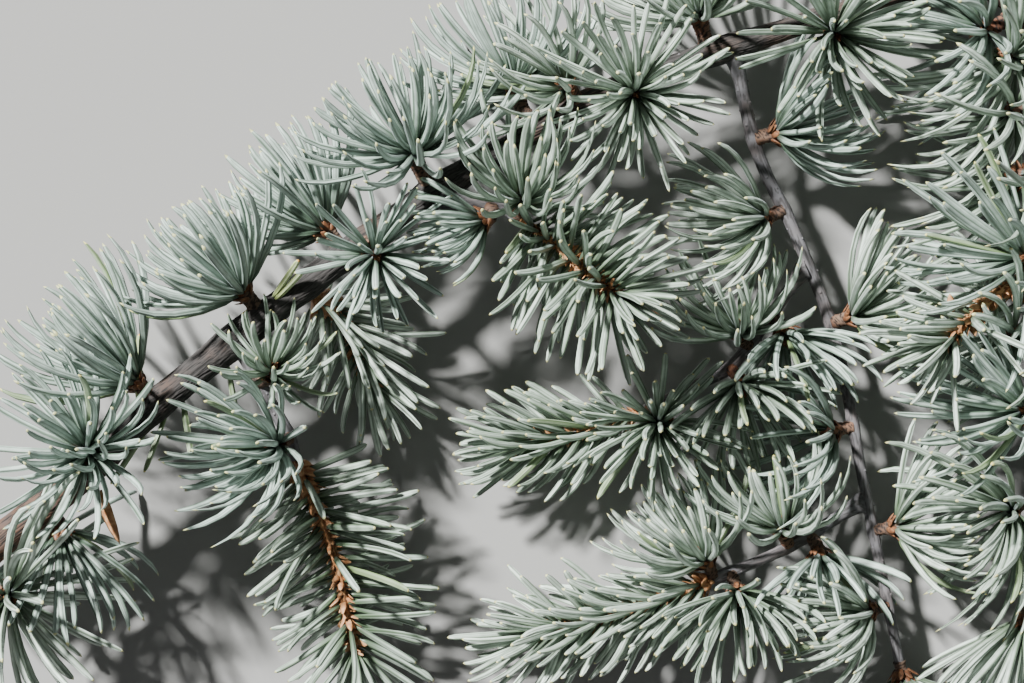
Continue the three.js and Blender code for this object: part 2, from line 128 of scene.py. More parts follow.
# Long leafy shoots: the twig whose tip they go on from, or the place where they leave the main limb, the
# line they follow, the length of their needles and how wide these stand
SHOOTS = {
    "shoot_left": (
        "twig_left", None,
        [(-33.4, -26.5, 17), (-29.6, -37, 16), (-27.9, -45.5, 15), (-26.4, -52.5, 14)], 15, 70),
    "shoot_front": ("twig_front", None, [(6.3, 16.4, 28.5), (11.6, 12, 32.5), (17, 7.4, 37)], 15, 72),
    "shoot_under": ("main", 80, [(-27.8, 2.5, 13), (-24.2, -7, 10)], 14, 46),
    "shoot_right": ("main", 262, [(81, 8.6, 25), (71, -0.5, 28)], 15, 68),
    "shoot_behind": ("twig_behind", None, [(13, -15, 11), (1, -17.5, 11.5)], 13, 52),
    "shoot_low": ("twig_low", None, [(27, -43.5, 10), (15, -47, 10.5), (3, -50, 11)], 13, 52),
}
# How much of a shoot's needles grow on the side that looks up: the others let the stem show
SHOOT_COVER = {"shoot_left": 0.25, "shoot_front": 0.9, "shoot_right": 0.6}
SHOOT_SPACING = {"shoot_under": 1.7}  # how much wider apart than on the others its needles stand
SCALY_FROM = {"shoot_front": 0.45}  # the share of a shoot where its loose scales begin
SHOOT_RADIUS = 0.78

# Needles, as on the living bough. Two numbers in brackets are the limits of a spread, turns are in
# radians and angles in degrees.
NEEDLE_WIDTH = 1.29
NEEDLES_TO_A_WHORL = 8.7  # real needles of a tuft for each one of the solid's whorl
FULL_REACH = 20  # needles that are shorter than this are thinner too, and longer ones thicker
THICKER = 0.3
GROWN_REACH = 16  # tufts with needles shorter than this are young: they have fewer of them
FEWER = 0.6
WIDEST = ((2, 4.5), (68, 102))  # spur heights, and how many degrees their outer needles lean out
NARROWEST = 23  # and how many the inner ones do
RIM_CROWDING = 1.15  # above 1, more of a tuft's needles stand near its rim
TUFT_TURNS = 0.09  # how far they stray in the turn about the axis
TUFT_ANGLES = 3  # and in how far they lean out
TUFT_LENGTHS = (0.88, 1.08)
TUFT_WIDTHS = (0.88, 1.08)
TUFT_BOWS = (0.5, 1.3)
INNER_SHORT = 0.2  # how much shorter the needles in a tuft's middle are
TURN_INWARD = 0.29  # how far a needle's tip bows towards the axis, as a share of its length
STRAY = 0.06  # how far it strays sideways
LIFT = 0.21  # and, at the most, towards the light
TOWARDS_LIGHT = (-0.5, 0.78, 0.35)  # the side that was the sky while the bough hung
SHADE_CURL = 1.5  # how much more the needles on the shaded side bow
SHADE_LIFT = 1.4  # how much more they turn up towards the light
SHADE_SHORT = 0.2  # and how much shorter they are
ROOT_DEPTH = 0.8  # needles start at this share of the way out to the skin that they grow on
HOOK = 0.24  # share of the bow that is gathered near the tip
BOW_POWER = 2
HOOK_POWER = 8
MIDWAY = 0.55  # where the bow counts as one corner, when a needle looks for room
CLEAR_OF_ROOT = 0.3
NEEDLE_CLEAR = 0.03
ROD_STEP = 2  # stems are taken as straight lengths of this
GOLDEN_ANGLE = math.radians(137.508)
OTHER_AIMS = [(0, 0), (9, 0), (-9, 0), (0, -9), (15, -6), (-15, -6), (0, 7), (20, 6), (-20, 6), (0, -18)]

# Needles of a shoot
SHOOT_PITCH = 0.185  # length of stem for each needle
SHOOT_START = 0.8
SHOOT_TURNS = 0.12
SHOOT_ANGLES = 9
SHOOT_LENGTHS = (0.78, 1.12)
SHOOT_WIDTHS = (0.84, 1)
SHOOT_BOW = 0.14
SHOOT_BOWS = (-0.2, 1.6)
FOOT_LENGTH = 8  # they are shorter over this first stretch
FOOT_SHORT = 0.2
CLOSING_LENGTH = 7  # and lean out less over this last one
CLOSING = 30
FLARE = 6  # away from there they lean out more than the shoot's own angle by this
LOOKS_UP = 0.5  # needles that rise more than this are on the side that lets the stem show
END_NEEDLES = 16
END_ANGLE = 46
END_CLOSING = 28
END_DEPTH = 0.5
END_LENGTHS = (0.6, 0.95)
END_BOW = 0.12
END_WIDTH = 0.85

# How many of the masses carry each tint of needle, and how many needles lack the bloom
TINT_SHARES = {"silver": 0.42, "blue": 0.36, "grey": 0.22}
GREEN_SHARE = 0.022

# Needles and dry blades of bud wrapping that stand by themselves: place, way, length and width
YELLOW_NEEDLES = [
    ((-39.5, 7.4, 23.4), (4.4, 5.6, 4.6), 9, NEEDLE_WIDTH),
    ((-39.4, 6.7, 23.0), (4.6, 4.4, 3.2), 8, NEEDLE_WIDTH),
    ((-62.2, -9.4, 21.6), (0.6, 8, 1.8), 11, NEEDLE_WIDTH),
]
GREEN_NEEDLES = [
    ((-57.5, -11.5, 19.5), (-2.2, -6.5, 1.4), 11, NEEDLE_WIDTH),
    ((-55.0, -9.6, 19.2), (1.2, -6.8, 0.6), 10, NEEDLE_WIDTH),
    ((-60.5, -13.9, 19.6), (-3.4, -5.2, -0.8), 12, NEEDLE_WIDTH),
    ((-47.5, -3.7, 19.4), (1.0, -6.0, -1.0), 9, NEEDLE_WIDTH),
]
DRY_BLADES = [
    ((-68.0, -24.6, 27.0), (3.3, -7.8, 1.0), 9.5, 2.2),
    ((22.0, 4.9, 27.0), (3.1, -1.6, 1.5), 4.2, 1.4),
    ((72.3, 4.9, 26.6), (-0.5, 3.0, 1.6), 3.4, 1.5),
]

# Spurs
SPUR_GIRTH = 1.15
SPUR_SHARE = 0.95  # a spur is no stouter than this share of its limb
SPUR_SUNK = 0.9
SPUR_KNEE = 0.35  # the share of its height where a spur turns to its tuft's axis and starts to widen
SPUR_NECK = 0.12
HEAD_GIRTH = 1.5
HEAD_HEIGHT = 1.9

# How much a limb or twig swells where a stem leaves it, and over what reach
TWIG_SWELL = (0.5, 4.5)
SPUR_SWELL = (0.2, 2.2)
SHOOT_SWELL = (0.3, 2.5)
SMALL_SPUR_SWELL = (0.18, 1.8)

# Bark of each piece: sides of its tube, length of a step, relief, fineness of the grain, its stretch, seed
BARKS = {
    "limb_bark": (120, 0.42, 0.15, 3000.0, 0.055, 3),
    "twig_bark": (30, 0.36, 0.045, 2300.0, 0.08, 5),
    "spur_pegs": (20, 0.2, 0.1, 2200.0, 0.8, 7),
    "shoot_stems": (18, 0.3, 0.1, 1900.0, 0.25, 11),
}
CRACK_WIDTH = 0.075
FINER_GRAIN = 2.7
GRAIN_APART = 0.37  # from one line's grain to the next one's
GROWTH_RINGS = 9
NEEDLE_LINES = 8
PALER = 1.25  # spots on a needle's tip
OFF_FLOOR = 0.02  # the least height of anything

# The photograph's frame: 6 of its pixels to the millimetre, at the height of the main limb
PHOTO_WIDTH = 1024 / 6
PHOTO_MIDDLE = np.array([0.0, 0.0, 20.0])

# Floor and light
FLOOR_SHADE = (0.292, 0.285, 0.286, 1.0)
KEY_WAY = (0.62, -0.6, -0.85)  # the way that the light travels
KEY_ENERGY = 14
KEY_SPREAD = 5  # degrees that the light takes up, which softens its shadows
KEY_SHADE = (0.98, 1.0, 0.955)
SKY_SHADE = (0.98, 0.99, 1.0, 1.0)
SKY_STRENGTH = 0.155

# Smooth lines, and forms that are repeated
DIVISIONS = 200
TENSION = 0.5  # of the curve from each point to the next
NUDGE = 1e-4  # the share of a line over which its heading is taken
PARALLEL = 1e-9  # lengths whose slant is less than this count as parallel
STEEP = 0.95  # an axis that rises more than this is squared to X, not to Z
HALF_TURN = 0.5  # on a map that runs round a form from 0 to 1
NO_CAP = 2  # above the top of every form
ROUND_AND_ALONG = "round_and_along"


class Line:
    """A smooth line through points, with its place and heading at a distance from its start."""

    def __init__(self, points):
        self.points = np.array(points, float)
        self.shares = np.linspace(0, 1, DIVISIONS + 1)
        steps = np.linalg.norm(np.diff(self.at(self.shares), axis=0), axis=1)
        self.travelled = np.concatenate([[0], np.cumsum(steps)])
        self.length = self.travelled[-1]

    def at(self, shares):
        knots = self.points
        padded = np.vstack([2 * knots[0] - knots[1], knots, 2 * knots[-1] - knots[-2]])
        places = np.clip(np.atleast_1d(shares), 0, 1) * (len(knots) - 1)
        first = np.minimum(places.astype(int), len(knots) - 2)
        t = (places - first)[:, None]
        before, start, end, after = (padded[first + k] for k in range(4))
        leaving = TENSION * (end - before)
        arriving = TENSION * (after - start)
        cubic = 2 * start - 2 * end + leaving + arriving
        squared = 3 * end - 3 * start - 2 * leaving - arriving
        return cubic * t ** 3 + squared * t ** 2 + leaving * t + start

    def share(self, distance):
        return np.interp(distance, self.travelled, self.shares)

    def place(self, distance):
        return self.at(self.share(distance))[0]

    def places(self, distances):
        return [self.place(distance) for distance in distances]

    def heading(self, distance):
        share = self.share(distance)
        return unit(self.at(min(share + NUDGE, 1))[0] - self.at(max(share - NUDGE, 0))[0])


class Limb(Line):
    """A line with a radius that tapers evenly."""

    def __init__(self, points, first_radius, last_radius):
        super().__init__(points)
        self.radii = (first_radius, last_radius)

    def radius(self, distance):
        return np.interp(distance, (0, self.length), self.radii)


def unit(vector):
    return vector / np.linalg.norm(vector)


def square(direction, other):
    """The part of a direction that is square to another one."""
    return unit(direction - other * (direction @ other))


def around(axis, turn):
    """A way square to an axis, turned about it."""
    across = square(UP if abs(axis[2]) < STEEP else np.array([1.0, 0.0, 0.0]), axis)
    return across * math.cos(turn) + np.cross(axis, across) * math.sin(turn)


def aim(bearing, rise):
    """The way that has a bearing in the XY plane and a rise above it, both in degrees."""
    flat = math.cos(math.radians(rise))
    turn = math.radians(bearing)
    return np.array([flat * math.cos(turn), flat * math.sin(turn), math.sin(math.radians(rise))])


def seat(limb, at, heading):
    """Where a stem that heads a given way leaves a limb, and its first way there."""
    away = square(heading, limb.heading(at))
    return limb.place(at) + away * (limb.radius(at) + GAP), away


def layout_shift(limb):
    """How far the frame is moved from the layout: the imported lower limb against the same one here."""
    corners = []
    steps = math.ceil((FIRST_SPLIT - GAP / 2) / LIMB_STEP)
    for distance in np.linspace(0, FIRST_SPLIT - GAP / 2, steps + 1):
        for turn in np.arange(LIMB_SIDES) * math.tau / LIMB_SIDES:
            out = around(limb.heading(distance), turn)
            corners.append(limb.place(distance) + out * limb.radius(distance))
    return np.array(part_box("limb_lower")[0]) / MM - np.min(corners, axis=0)


# Rods: every needle, stem and limb as straight lengths, for keeping the needles apart

class Rods:
    """Straight lengths with a radius and an owner. On one mass they are taken clear of their roots."""

    MOST = 12000  # two to a needle, and those of the stems and limbs, with room to spare

    def __init__(self):
        self.count = 0
        self.starts = np.zeros((self.MOST, 3))
        self.clear_starts = np.zeros((self.MOST, 3))
        self.ends = np.zeros((self.MOST, 3))
        self.radii = np.zeros(self.MOST)
        self.owners = np.zeros(self.MOST, int)

    def add(self, owner, start, clear_start, end, radius):
        k = self.count
        self.starts[k], self.clear_starts[k], self.ends[k] = start, clear_start, end
        self.radii[k], self.owners[k] = radius, owner
        self.count += 1

    def is_clear(self, owner, start, clear_start, end, radius):
        n = self.count
        reach = np.linalg.norm(end - start)
        middle = (start + end) / 2
        spans = np.linalg.norm(self.ends[:n] - self.starts[:n], axis=1)
        away = np.linalg.norm((self.starts[:n] + self.ends[:n]) / 2 - middle, axis=1)
        near = away < (spans + reach) / 2 + self.radii[:n] + radius + NEEDLE_CLEAR
        own = near & (self.owners[:n] == owner)
        other = near & ~own
        room = radius + NEEDLE_CLEAR
        for chosen, starts, first in ((other, self.starts, start), (own, self.clear_starts, clear_start)):
            if not chosen.any():
                continue
            gaps = distances(first, end, starts[:n][chosen], self.ends[:n][chosen])
            if (gaps <= self.radii[:n][chosen] + room).any():
                return False
        return True


def distances(start, end, starts, ends):
    """The shortest distances from one straight line to several others."""
    way, ways, apart = end - start, ends - starts, start - starts
    one = way @ way
    each = np.einsum("ij,ij->i", ways, ways)
    both = ways @ way
    first = apart @ way
    second = np.einsum("ij,ij->i", ways, apart)
    slant = one * each - both ** 2
    meeting = np.where(slant > PARALLEL, (both * second - first * each) / np.maximum(slant, PARALLEL), 0)
    on_each = np.clip((both * np.clip(meeting, 0, 1) + second) / each, 0, 1)
    on_one = np.clip((both * on_each - first) / one, 0, 1)
    return np.linalg.norm(apart + on_one[:, None] * way - on_each[:, None] * ways, axis=1)


# Needles: their wishes, and how each finds room

def bow(share):
    return (1 - HOOK) * share ** BOW_POWER + HOOK * share ** HOOK_POWER


class Needle:
    """A needle: its root, the way it sets out, the bow of its tip, its length and its width."""

    def __init__(self, root, way, lean, length, width):
        self.root, self.way, self.lean, self.length, self.width = root, way, lean, length, width

    def at(self, share):
        return self.root + self.way * (self.length * share) + self.lean * bow(share)

    def rods(self):
        middle, tip = self.at(MIDWAY), self.at(1)
        radius = self.width / 2
        return [(self.root, self.at(CLEAR_OF_ROOT), middle, radius), (middle, middle, tip, radius)]


class Wish:
    """A place for one needle: it may turn about its mass's axis and lean away from it to find room."""

    def __init__(self, root, axis, out, angle, bend, length, width, random):
        self.root, self.axis, self.out, self.angle = root, axis, out, angle
        self.bend, self.length, self.width = bend, length, width
        self.sway = random.normal(0, STRAY)
        self.lift = random.uniform(0, LIFT)

    def needle(self, turn, lean):
        over = np.cross(self.axis, self.out)
        side = self.out * math.cos(math.radians(turn)) + over * math.sin(math.radians(turn))
        angle = math.radians(self.angle + lean)
        way = self.axis * math.cos(angle) + side * math.sin(angle)
        inward = self.axis * math.sin(angle) - side * math.cos(angle)
        bent = inward * self.bend + np.cross(way, inward) * self.sway + np.array(TOWARDS_LIGHT) * self.lift
        bent = (bent - way * (bent @ way)) * self.length
        drop = self.root[2] + way[2] * self.length + bent[2] - self.width / 2
        if drop < 0:
            way = level_out(way, drop / self.length)
        return Needle(self.root, way, bent, self.length, self.width)


def level_out(way, share):
    """Turns a way up by a share of its length, so that what follows it stays above the surface."""
    rise = way[2] - share
    flat = math.hypot(way[0], way[1])
    wanted = math.sqrt(max(1 - rise ** 2, 0))
    return np.array([way[0] * wanted / flat, way[1] * wanted / flat, rise])


def tuft_wishes(head, axis, guide, count, reach, widest, random):
    """Wishes all over the head of a spur, in a spiral from its rim to its middle."""
    across = square(guide, axis)
    over = np.cross(axis, across)
    light = unit(np.array(TOWARDS_LIGHT))
    grown = NEEDLE_WIDTH * (reach / FULL_REACH) ** THICKER
    widest, narrowest = math.cos(math.radians(widest)), math.cos(math.radians(NARROWEST))
    wishes = []
    for k in range(count):
        share = (k + 0.5) / count
        angle = math.degrees(math.acos(widest + (narrowest - widest) * share ** RIM_CROWDING))
        turn = k * GOLDEN_ANGLE + random.normal(0, TUFT_TURNS)
        out = across * math.cos(turn) + over * math.sin(turn)
        tilt = math.radians(angle)
        skin = out * math.sin(tilt) * HEAD_GIRTH + axis * math.cos(tilt) * HEAD_HEIGHT
        shaded = max(0, -out @ light) * math.sin(tilt)
        length = reach * random.uniform(*TUFT_LENGTHS)
        length = length * (1 - INNER_SHORT * share) * (1 - SHADE_SHORT * shaded)
        bend = TURN_INWARD * math.sin(tilt) * random.uniform(*TUFT_BOWS) * (1 + SHADE_CURL * shaded)
        width = grown * random.uniform(*TUFT_WIDTHS)
        angle += random.normal(0, TUFT_ANGLES)
        wish = Wish(head + skin * ROOT_DEPTH, axis, out, angle, bend, length, width, random)
        wish.lift *= 1 + SHADE_LIFT * shaded
        wishes.append(wish)
    return wishes


def shoot_wishes(line, reach, widest, cover, spacing, random):
    """Wishes in a spiral round a shoot's stem, closing up over its end."""
    wishes = []
    end = line.length
    for k, distance in enumerate(np.arange(SHOOT_START, end, SHOOT_PITCH * spacing)):
        way = line.heading(distance)
        out = around(way, k * GOLDEN_ANGLE + random.normal(0, SHOOT_TURNS))
        if out[2] > LOOKS_UP and random.random() > cover:
            continue
        share = max(0, 1 - (end - distance) / CLOSING_LENGTH)
        angle = widest + FLARE - CLOSING * share + random.normal(0, SHOOT_ANGLES)
        grown = 1 - FOOT_SHORT + FOOT_SHORT * min(1, distance / FOOT_LENGTH)
        length = reach * random.uniform(*SHOOT_LENGTHS) * grown
        bend = SHOOT_BOW * random.uniform(*SHOOT_BOWS)
        root = line.place(distance) + out * SHOOT_RADIUS * ROOT_DEPTH
        width = NEEDLE_WIDTH * random.uniform(*SHOOT_WIDTHS)
        wishes.append(Wish(root, way, out, angle, bend, length, width, random))
    way, tip = line.heading(end), line.place(end)
    for k in range(END_NEEDLES):
        out = around(way, k * GOLDEN_ANGLE)
        angle = END_ANGLE - END_CLOSING * k / END_NEEDLES + random.normal(0, TUFT_ANGLES)
        root = tip + out * SHOOT_RADIUS * END_DEPTH
        length = reach * random.uniform(*END_LENGTHS)
        wishes.append(Wish(root, way, out, angle, END_BOW, length, NEEDLE_WIDTH * END_WIDTH, random))
    return wishes


def room_for(rods, owner, wish):
    """The needle of a wish that touches nothing, or None. Other aims are tried where the first is taken."""
    for turn, lean in OTHER_AIMS:
        needle = wish.needle(turn, lean)
        if all(rods.is_clear(owner, *rod) for rod in needle.rods()):
            for rod in needle.rods():
                rods.add(owner, *rod)
            return needle
    return None


# The bough: limbs, and the masses that grow on them

class Mass:
    """A tuft or shoot: its name, kind, stem and axis, its wishes, and the needles that found room."""

    def __init__(self, name, line, girth, head, axis, wishes):
        self.name, self.line, self.girth, self.head, self.axis = name, line, girth, head, axis
        self.wishes, self.needles = wishes, []
        self.kind = name.split("_")[0]


def make_limbs():
    """The main limb and the twigs, by name. A twig starts just clear of the limb that it leaves."""
    limbs = {"main": Limb(MAIN_LINE, CUT_RADIUS, LEADER_RADIUS)}
    for name, (on, at, line, radii) in TWIGS.items():
        foot, _ = seat(limbs[on], at, np.array(line[0]) - limbs[on].place(at))
        limbs[name] = Limb([foot, *line], *radii)
    return limbs


def make_tuft(name, foot, away, axis, guide, limb_radius, size, random):
    """A tuft on its spur, which sets out away from the limb and turns to the tuft's own axis."""
    spur, reach, whorl = size
    girth = min(SPUR_GIRTH, SPUR_SHARE * limb_radius)
    head = foot + (away + axis) * spur / 2
    knee, neck = foot + away * spur * SPUR_KNEE, head - axis * spur * SPUR_NECK
    line = Line([foot - away * SPUR_SUNK, foot, knee, neck, head + axis])
    count = round(whorl * NEEDLES_TO_A_WHORL * min(1, reach / GROWN_REACH) ** FEWER)
    wishes = tuft_wishes(head, axis, guide, count, reach, np.interp(spur, *WIDEST), random)
    return Mass(name, line, girth, head, axis, wishes)


def tuft_name(limb_name, last):
    return f"tuft_{limb_name.replace('twig_', '')}_{last}"


def make_masses(limbs):
    """All the masses. Each has its own dice, so that a change to one leaves the others as they are."""
    masses = []

    def dice():
        return np.random.default_rng(len(masses) + 1)

    for on, rows in TUFTS.items():
        for k, (at, bearing, rise, *size) in enumerate(rows):
            axis = aim(bearing, rise)
            limb = limbs[on]
            foot, away = seat(limb, at, axis)
            name = tuft_name(on, k + 1)
            tuft = make_tuft(name, foot, away, axis, limb.heading(at), limb.radius(at), size, dice())
            masses.append(tuft)
    for on, (rise, reach, whorl) in END_TUFTS.items():
        limb = limbs[on]
        way = limb.heading(limb.length)
        axis = aim(math.degrees(math.atan2(way[1], way[0])), rise)
        foot = limb.place(limb.length) + way * GAP
        size = (END_SPUR, reach, whorl)
        radius = limb.radius(limb.length)
        masses.append(make_tuft(tuft_name(on, "end"), foot, way, axis, UP, radius, size, dice()))
    for name, (on, at, points, reach, widest) in SHOOTS.items():
        limb = limbs[on]
        if at is None:
            foot = limb.place(limb.length)
        else:
            foot, _ = seat(limb, at, np.array(points[0]) - limb.place(at))
        line = Line([foot, *points])
        end = line.place(line.length)
        cover, spacing = SHOOT_COVER.get(name, 1), SHOOT_SPACING.get(name, 1)
        wishes = shoot_wishes(line, reach, widest, cover, spacing, dice())
        masses.append(Mass(name, line, SHOOT_RADIUS, end, line.heading(line.length), wishes))
    return masses


def grow(limbs, masses):
    """Gives every mass its needles in turn, one at a time, each clear of all the others."""
    rods = Rods()
    for owner, limb in enumerate(limbs.values()):
        for start in np.arange(0, limb.length, LIMB_STEP / 2):
            end = min(start + LIMB_STEP / 2, limb.length)
            first, last = limb.place(start), limb.place(end)
            rods.add(-1 - owner, first, first, last, limb.radius(start))
    for owner, mass in enumerate(masses):
        length = mass.line.length
        radius = SHOOT_RADIUS if mass.kind == "shoot" else HEAD_GIRTH
        for start in np.arange(SPUR_GIRTH, length, ROD_STEP):
            first, last = mass.line.place(start), mass.line.place(min(start + ROD_STEP, length))
            rods.add(owner, first, first, last, radius)
    for k in range(max(len(mass.wishes) for mass in masses)):
        for owner, mass in enumerate(masses):
            if k < len(mass.wishes):
                needle = room_for(rods, owner, mass.wishes[k])
                if needle is not None:
                    mass.needles.append(needle)


# Geometry node trees

def find_socket(sockets, key):
    """A node's socket by its number, or by its name among those that are in use."""
    if isinstance(key, int):
        return sockets[key]
    return next(socket for socket in sockets if socket.name == key and socket.enabled)


def stand(name, data):
    """A new object in the scene."""
    made = bpy.data.objects.new(name, data)
    bpy.context.scene.collection.objects.link(made)
    return made


def give(mesh, name, values, kind="FLOAT", domain="POINT"):
    """Stores a number or a vector for each point or face of a mesh."""
    field = "vector" if kind == "FLOAT_VECTOR" else "value"
    mesh.attributes.new(name, kind, domain).data.foreach_set(field, values)


class Network:
    """The nodes of one tree, whose inputs are wired or set as each is added."""

    def __init__(self, tree):
        self.tree = tree

    def wire(self, value, socket):
        if isinstance(value, bpy.types.NodeSocket):
            self.tree.links.new(value, socket)
        else:
            socket.default_value = value

    def add(self, kind, wires=None, out=0, **settings):
        """Adds a node and returns one of its outputs."""
        node = self.tree.nodes.new(kind)
        for key, value in settings.items():
            setattr(node, key, value)
        for key, value in (wires or {}).items():
            self.wire(value, find_socket(node.inputs, key))
        return find_socket(node.outputs, out)

    def math(self, operation, first, second=0.0):
        return self.add("ShaderNodeMath", {0: first, 1: second}, operation=operation)

    def plus(self, first, second):
        return self.math("ADD", first, second)

    def minus(self, first, second):
        return self.math("SUBTRACT", first, second)

    def times(self, first, second):
        return self.math("MULTIPLY", first, second)

    def parts(self, vector):
        """The three numbers of a vector."""
        node = self.tree.nodes.new("ShaderNodeSeparateXYZ")
        self.wire(vector, node.inputs[0])
        return node.outputs


class Tree(Network):
    """A geometry node tree with named inputs, which ends in one output."""

    def __init__(self, name, inputs):
        super().__init__(bpy.data.node_groups.new(name, "GeometryNodeTree"))
        face = self.tree.interface
        face.new_socket("Geometry", in_out="INPUT", socket_type="NodeSocketGeometry")
        self.labels = {}
        for label, kind in inputs.items():
            made = face.new_socket(label, in_out="INPUT", socket_type="NodeSocket" + kind)
            self.labels[label] = made.identifier
        face.new_socket("Geometry", in_out="OUTPUT", socket_type="NodeSocketGeometry")
        self.start = self.tree.nodes.new("NodeGroupInput")
        self.end = self.tree.nodes.new("NodeGroupOutput")

    def take(self, label):
        return self.start.outputs[label]

    def step(self, kind, geometry, **wires):
        """One step that the geometry goes through."""
        return self.add("GeometryNode" + kind, {"Geometry": geometry, **wires})

    def scaled(self, vector, amount):
        return self.add("ShaderNodeVectorMath", {0: vector, "Scale": amount}, operation="SCALE")

    def vector(self, x, y, z):
        return self.add("ShaderNodeCombineXYZ", {0: x, 1: y, 2: z})

    def chance(self, low, high, seed):
        wires = {"Min": low, "Max": high, "Seed": seed}
        return self.add("FunctionNodeRandomValue", wires, out="Value", data_type="FLOAT")

    def attribute(self, name, kind="FLOAT"):
        return self.add("GeometryNodeInputNamedAttribute", {"Name": name}, data_type=kind)

    def store(self, geometry, name, value):
        wires = {"Geometry": geometry, "Name": name, "Value": value}
        return self.add("GeometryNodeStoreNamedAttribute", wires, data_type="FLOAT")

    def finish(self, geometry):
        self.tree.links.new(geometry, self.end.inputs[0])
        return self

    def dress(self, name, source, values):
        """Runs the tree on a mesh, and returns the plain mesh that comes out as a new object."""
        holder = stand(name + "_source", source)
        modifier = holder.modifiers.new(self.tree.name, "NODES")
        modifier.node_group = self.tree
        for label, value in values.items():
            modifier[self.labels[label]] = value
        graph = bpy.context.evaluated_depsgraph_get()
        mesh = bpy.data.meshes.new_from_object(holder.evaluated_get(graph))
        bpy.data.objects.remove(holder)
        mesh.name = name
        return stand(name, mesh)


def bark_tree():
    """Tubes along lines, with lengthwise cracks and ridges pressed into their skin."""
    tree = Tree("bark_along_lines", {
        "Sides": "Int", "Step": "Float", "Relief": "Float", "Grain": "Float", "Stretch": "Float",
        "Seed": "Int", "Bark": "Material"})
    line = tree.add("GeometryNodeMeshToCurve", {0: tree.start.outputs[0]})
    steps = {"Curve": line, "Length": tree.take("Step")}
    line = tree.add("GeometryNodeResampleCurve", steps, mode="LENGTH")
    line = tree.store(line, "along", tree.add("GeometryNodeSplineParameter", out=1))
    circle = tree.add("GeometryNodeCurvePrimitiveCircle", {"Resolution": tree.take("Sides"), "Radius": 1.0})
    turn = tree.times(tree.add("GeometryNodeSplineParameter", out=0), math.tau)
    circle = tree.store(circle, "around", turn)
    girth = tree.attribute("girth")
    tube = tree.add("GeometryNodeCurveToMesh", {
        "Curve": line, "Profile Curve": circle, "Scale": girth, "Fill Caps": True})
    turn = tree.attribute("around")
    along = tree.times(tree.attribute("along"), tree.take("Stretch"))
    grain = tree.vector(
        tree.times(tree.math("COSINE", turn), girth),
        tree.times(tree.math("SINE", turn), girth),
        tree.plus(along, tree.attribute("born")))
    noise = {"Vector": grain, "W": tree.take("Seed"), "Scale": tree.take("Grain"), "Detail": 3.0}
    waves = tree.add("ShaderNodeTexNoise", noise, noise_dimensions="4D")
    valley = tree.math("ABSOLUTE", tree.minus(waves, 0.5))
    crack = tree.add("ShaderNodeMapRange", {
        "Value": valley, "From Min": 0.0, "From Max": CRACK_WIDTH, "To Min": 1.0, "To Max": 0.0},
        interpolation_type="SMOOTHSTEP")
    tube = tree.store(tube, "crack", crack)
    noise = {**noise, "Scale": tree.times(tree.take("Grain"), FINER_GRAIN), "Detail": 2.0}
    bumps = tree.add("ShaderNodeTexNoise", noise, noise_dimensions="4D")
    height = tree.minus(tree.minus(bumps, 0.5), tree.attribute("crack"))
    offset = tree.times(height, tree.take("Relief"))
    tube = tree.step("SetPosition", tube, Offset=tree.scaled(tree.add("GeometryNodeInputNormal"), offset))
    tube = tree.step("SetShadeSmooth", tube)
    tube = tree.step("RealizeInstances", tube)
    return tree.finish(tree.step("SetMaterial", tube, Material=tree.take("Bark")))


def spray_tree():
    """Copies of one form at points, each turned to its aim, bowed by its lean and kept off the floor."""
    tree = Tree("forms_at_points", {
        "Form": "Object", "Width Spread": "Float", "Twist": "Float", "Hook": "Float", "Floor": "Float",
        "Seed": "Int", "Body": "Material", "Tip": "Material"})
    upright = tree.add("FunctionNodeAxesToRotation", {
        "Primary Axis": tree.attribute("aim", "FLOAT_VECTOR"),
        "Secondary Axis": tree.attribute("side", "FLOAT_VECTOR")}, primary_axis="Z", secondary_axis="X")
    seed, spread = tree.take("Seed"), tree.take("Width Spread")
    twist = tree.chance(tree.times(tree.take("Twist"), -1.0), tree.take("Twist"), seed)
    turn = tree.add("FunctionNodeAxisAngleToRotation", {"Axis": (0, 0, 1), "Angle": twist})
    turned = tree.add("FunctionNodeRotateRotation", {"Rotation": upright, "Rotate By": turn},
                      rotation_space="LOCAL")
    swell = tree.chance(tree.minus(1.0, spread), tree.plus(1.0, spread), tree.plus(seed, 1.0))
    width = tree.times(tree.attribute("wide"), swell)
    copies = tree.add("GeometryNodeInstanceOnPoints", {
        "Points": tree.start.outputs[0], "Rotation": turned,
        "Instance": tree.add("GeometryNodeObjectInfo", {"Object": tree.take("Form")}, out="Geometry"),
        "Scale": tree.vector(width, width, tree.attribute("long"))})
    copies = tree.step("RealizeInstances", copies)
    along, hook = tree.attribute("along"), tree.take("Hook")
    even = tree.times(tree.math("POWER", along, BOW_POWER), tree.minus(1.0, hook))
    late = tree.times(tree.math("POWER", along, HOOK_POWER), hook)
    bent = tree.scaled(tree.attribute("lean", "FLOAT_VECTOR"), tree.plus(even, late))
    copies = tree.step("SetPosition", copies, Offset=bent)
    x, y, z = tree.parts(tree.add("GeometryNodeInputPosition"))
    kept = tree.vector(x, y, tree.math("MAXIMUM", z, tree.take("Floor")))
    copies = tree.step("SetPosition", copies, Position=kept)
    copies = tree.step("SetShadeSmooth", copies)
    copies = tree.step("SetMaterial", copies, Material=tree.take("Body"))
    cap = tree.attribute("cap", "BOOLEAN")
    return tree.finish(tree.step("SetMaterial", copies, Selection=cap, Material=tree.take("Tip")))


# Forms that are repeated: unit wide and unit long, standing on the origin

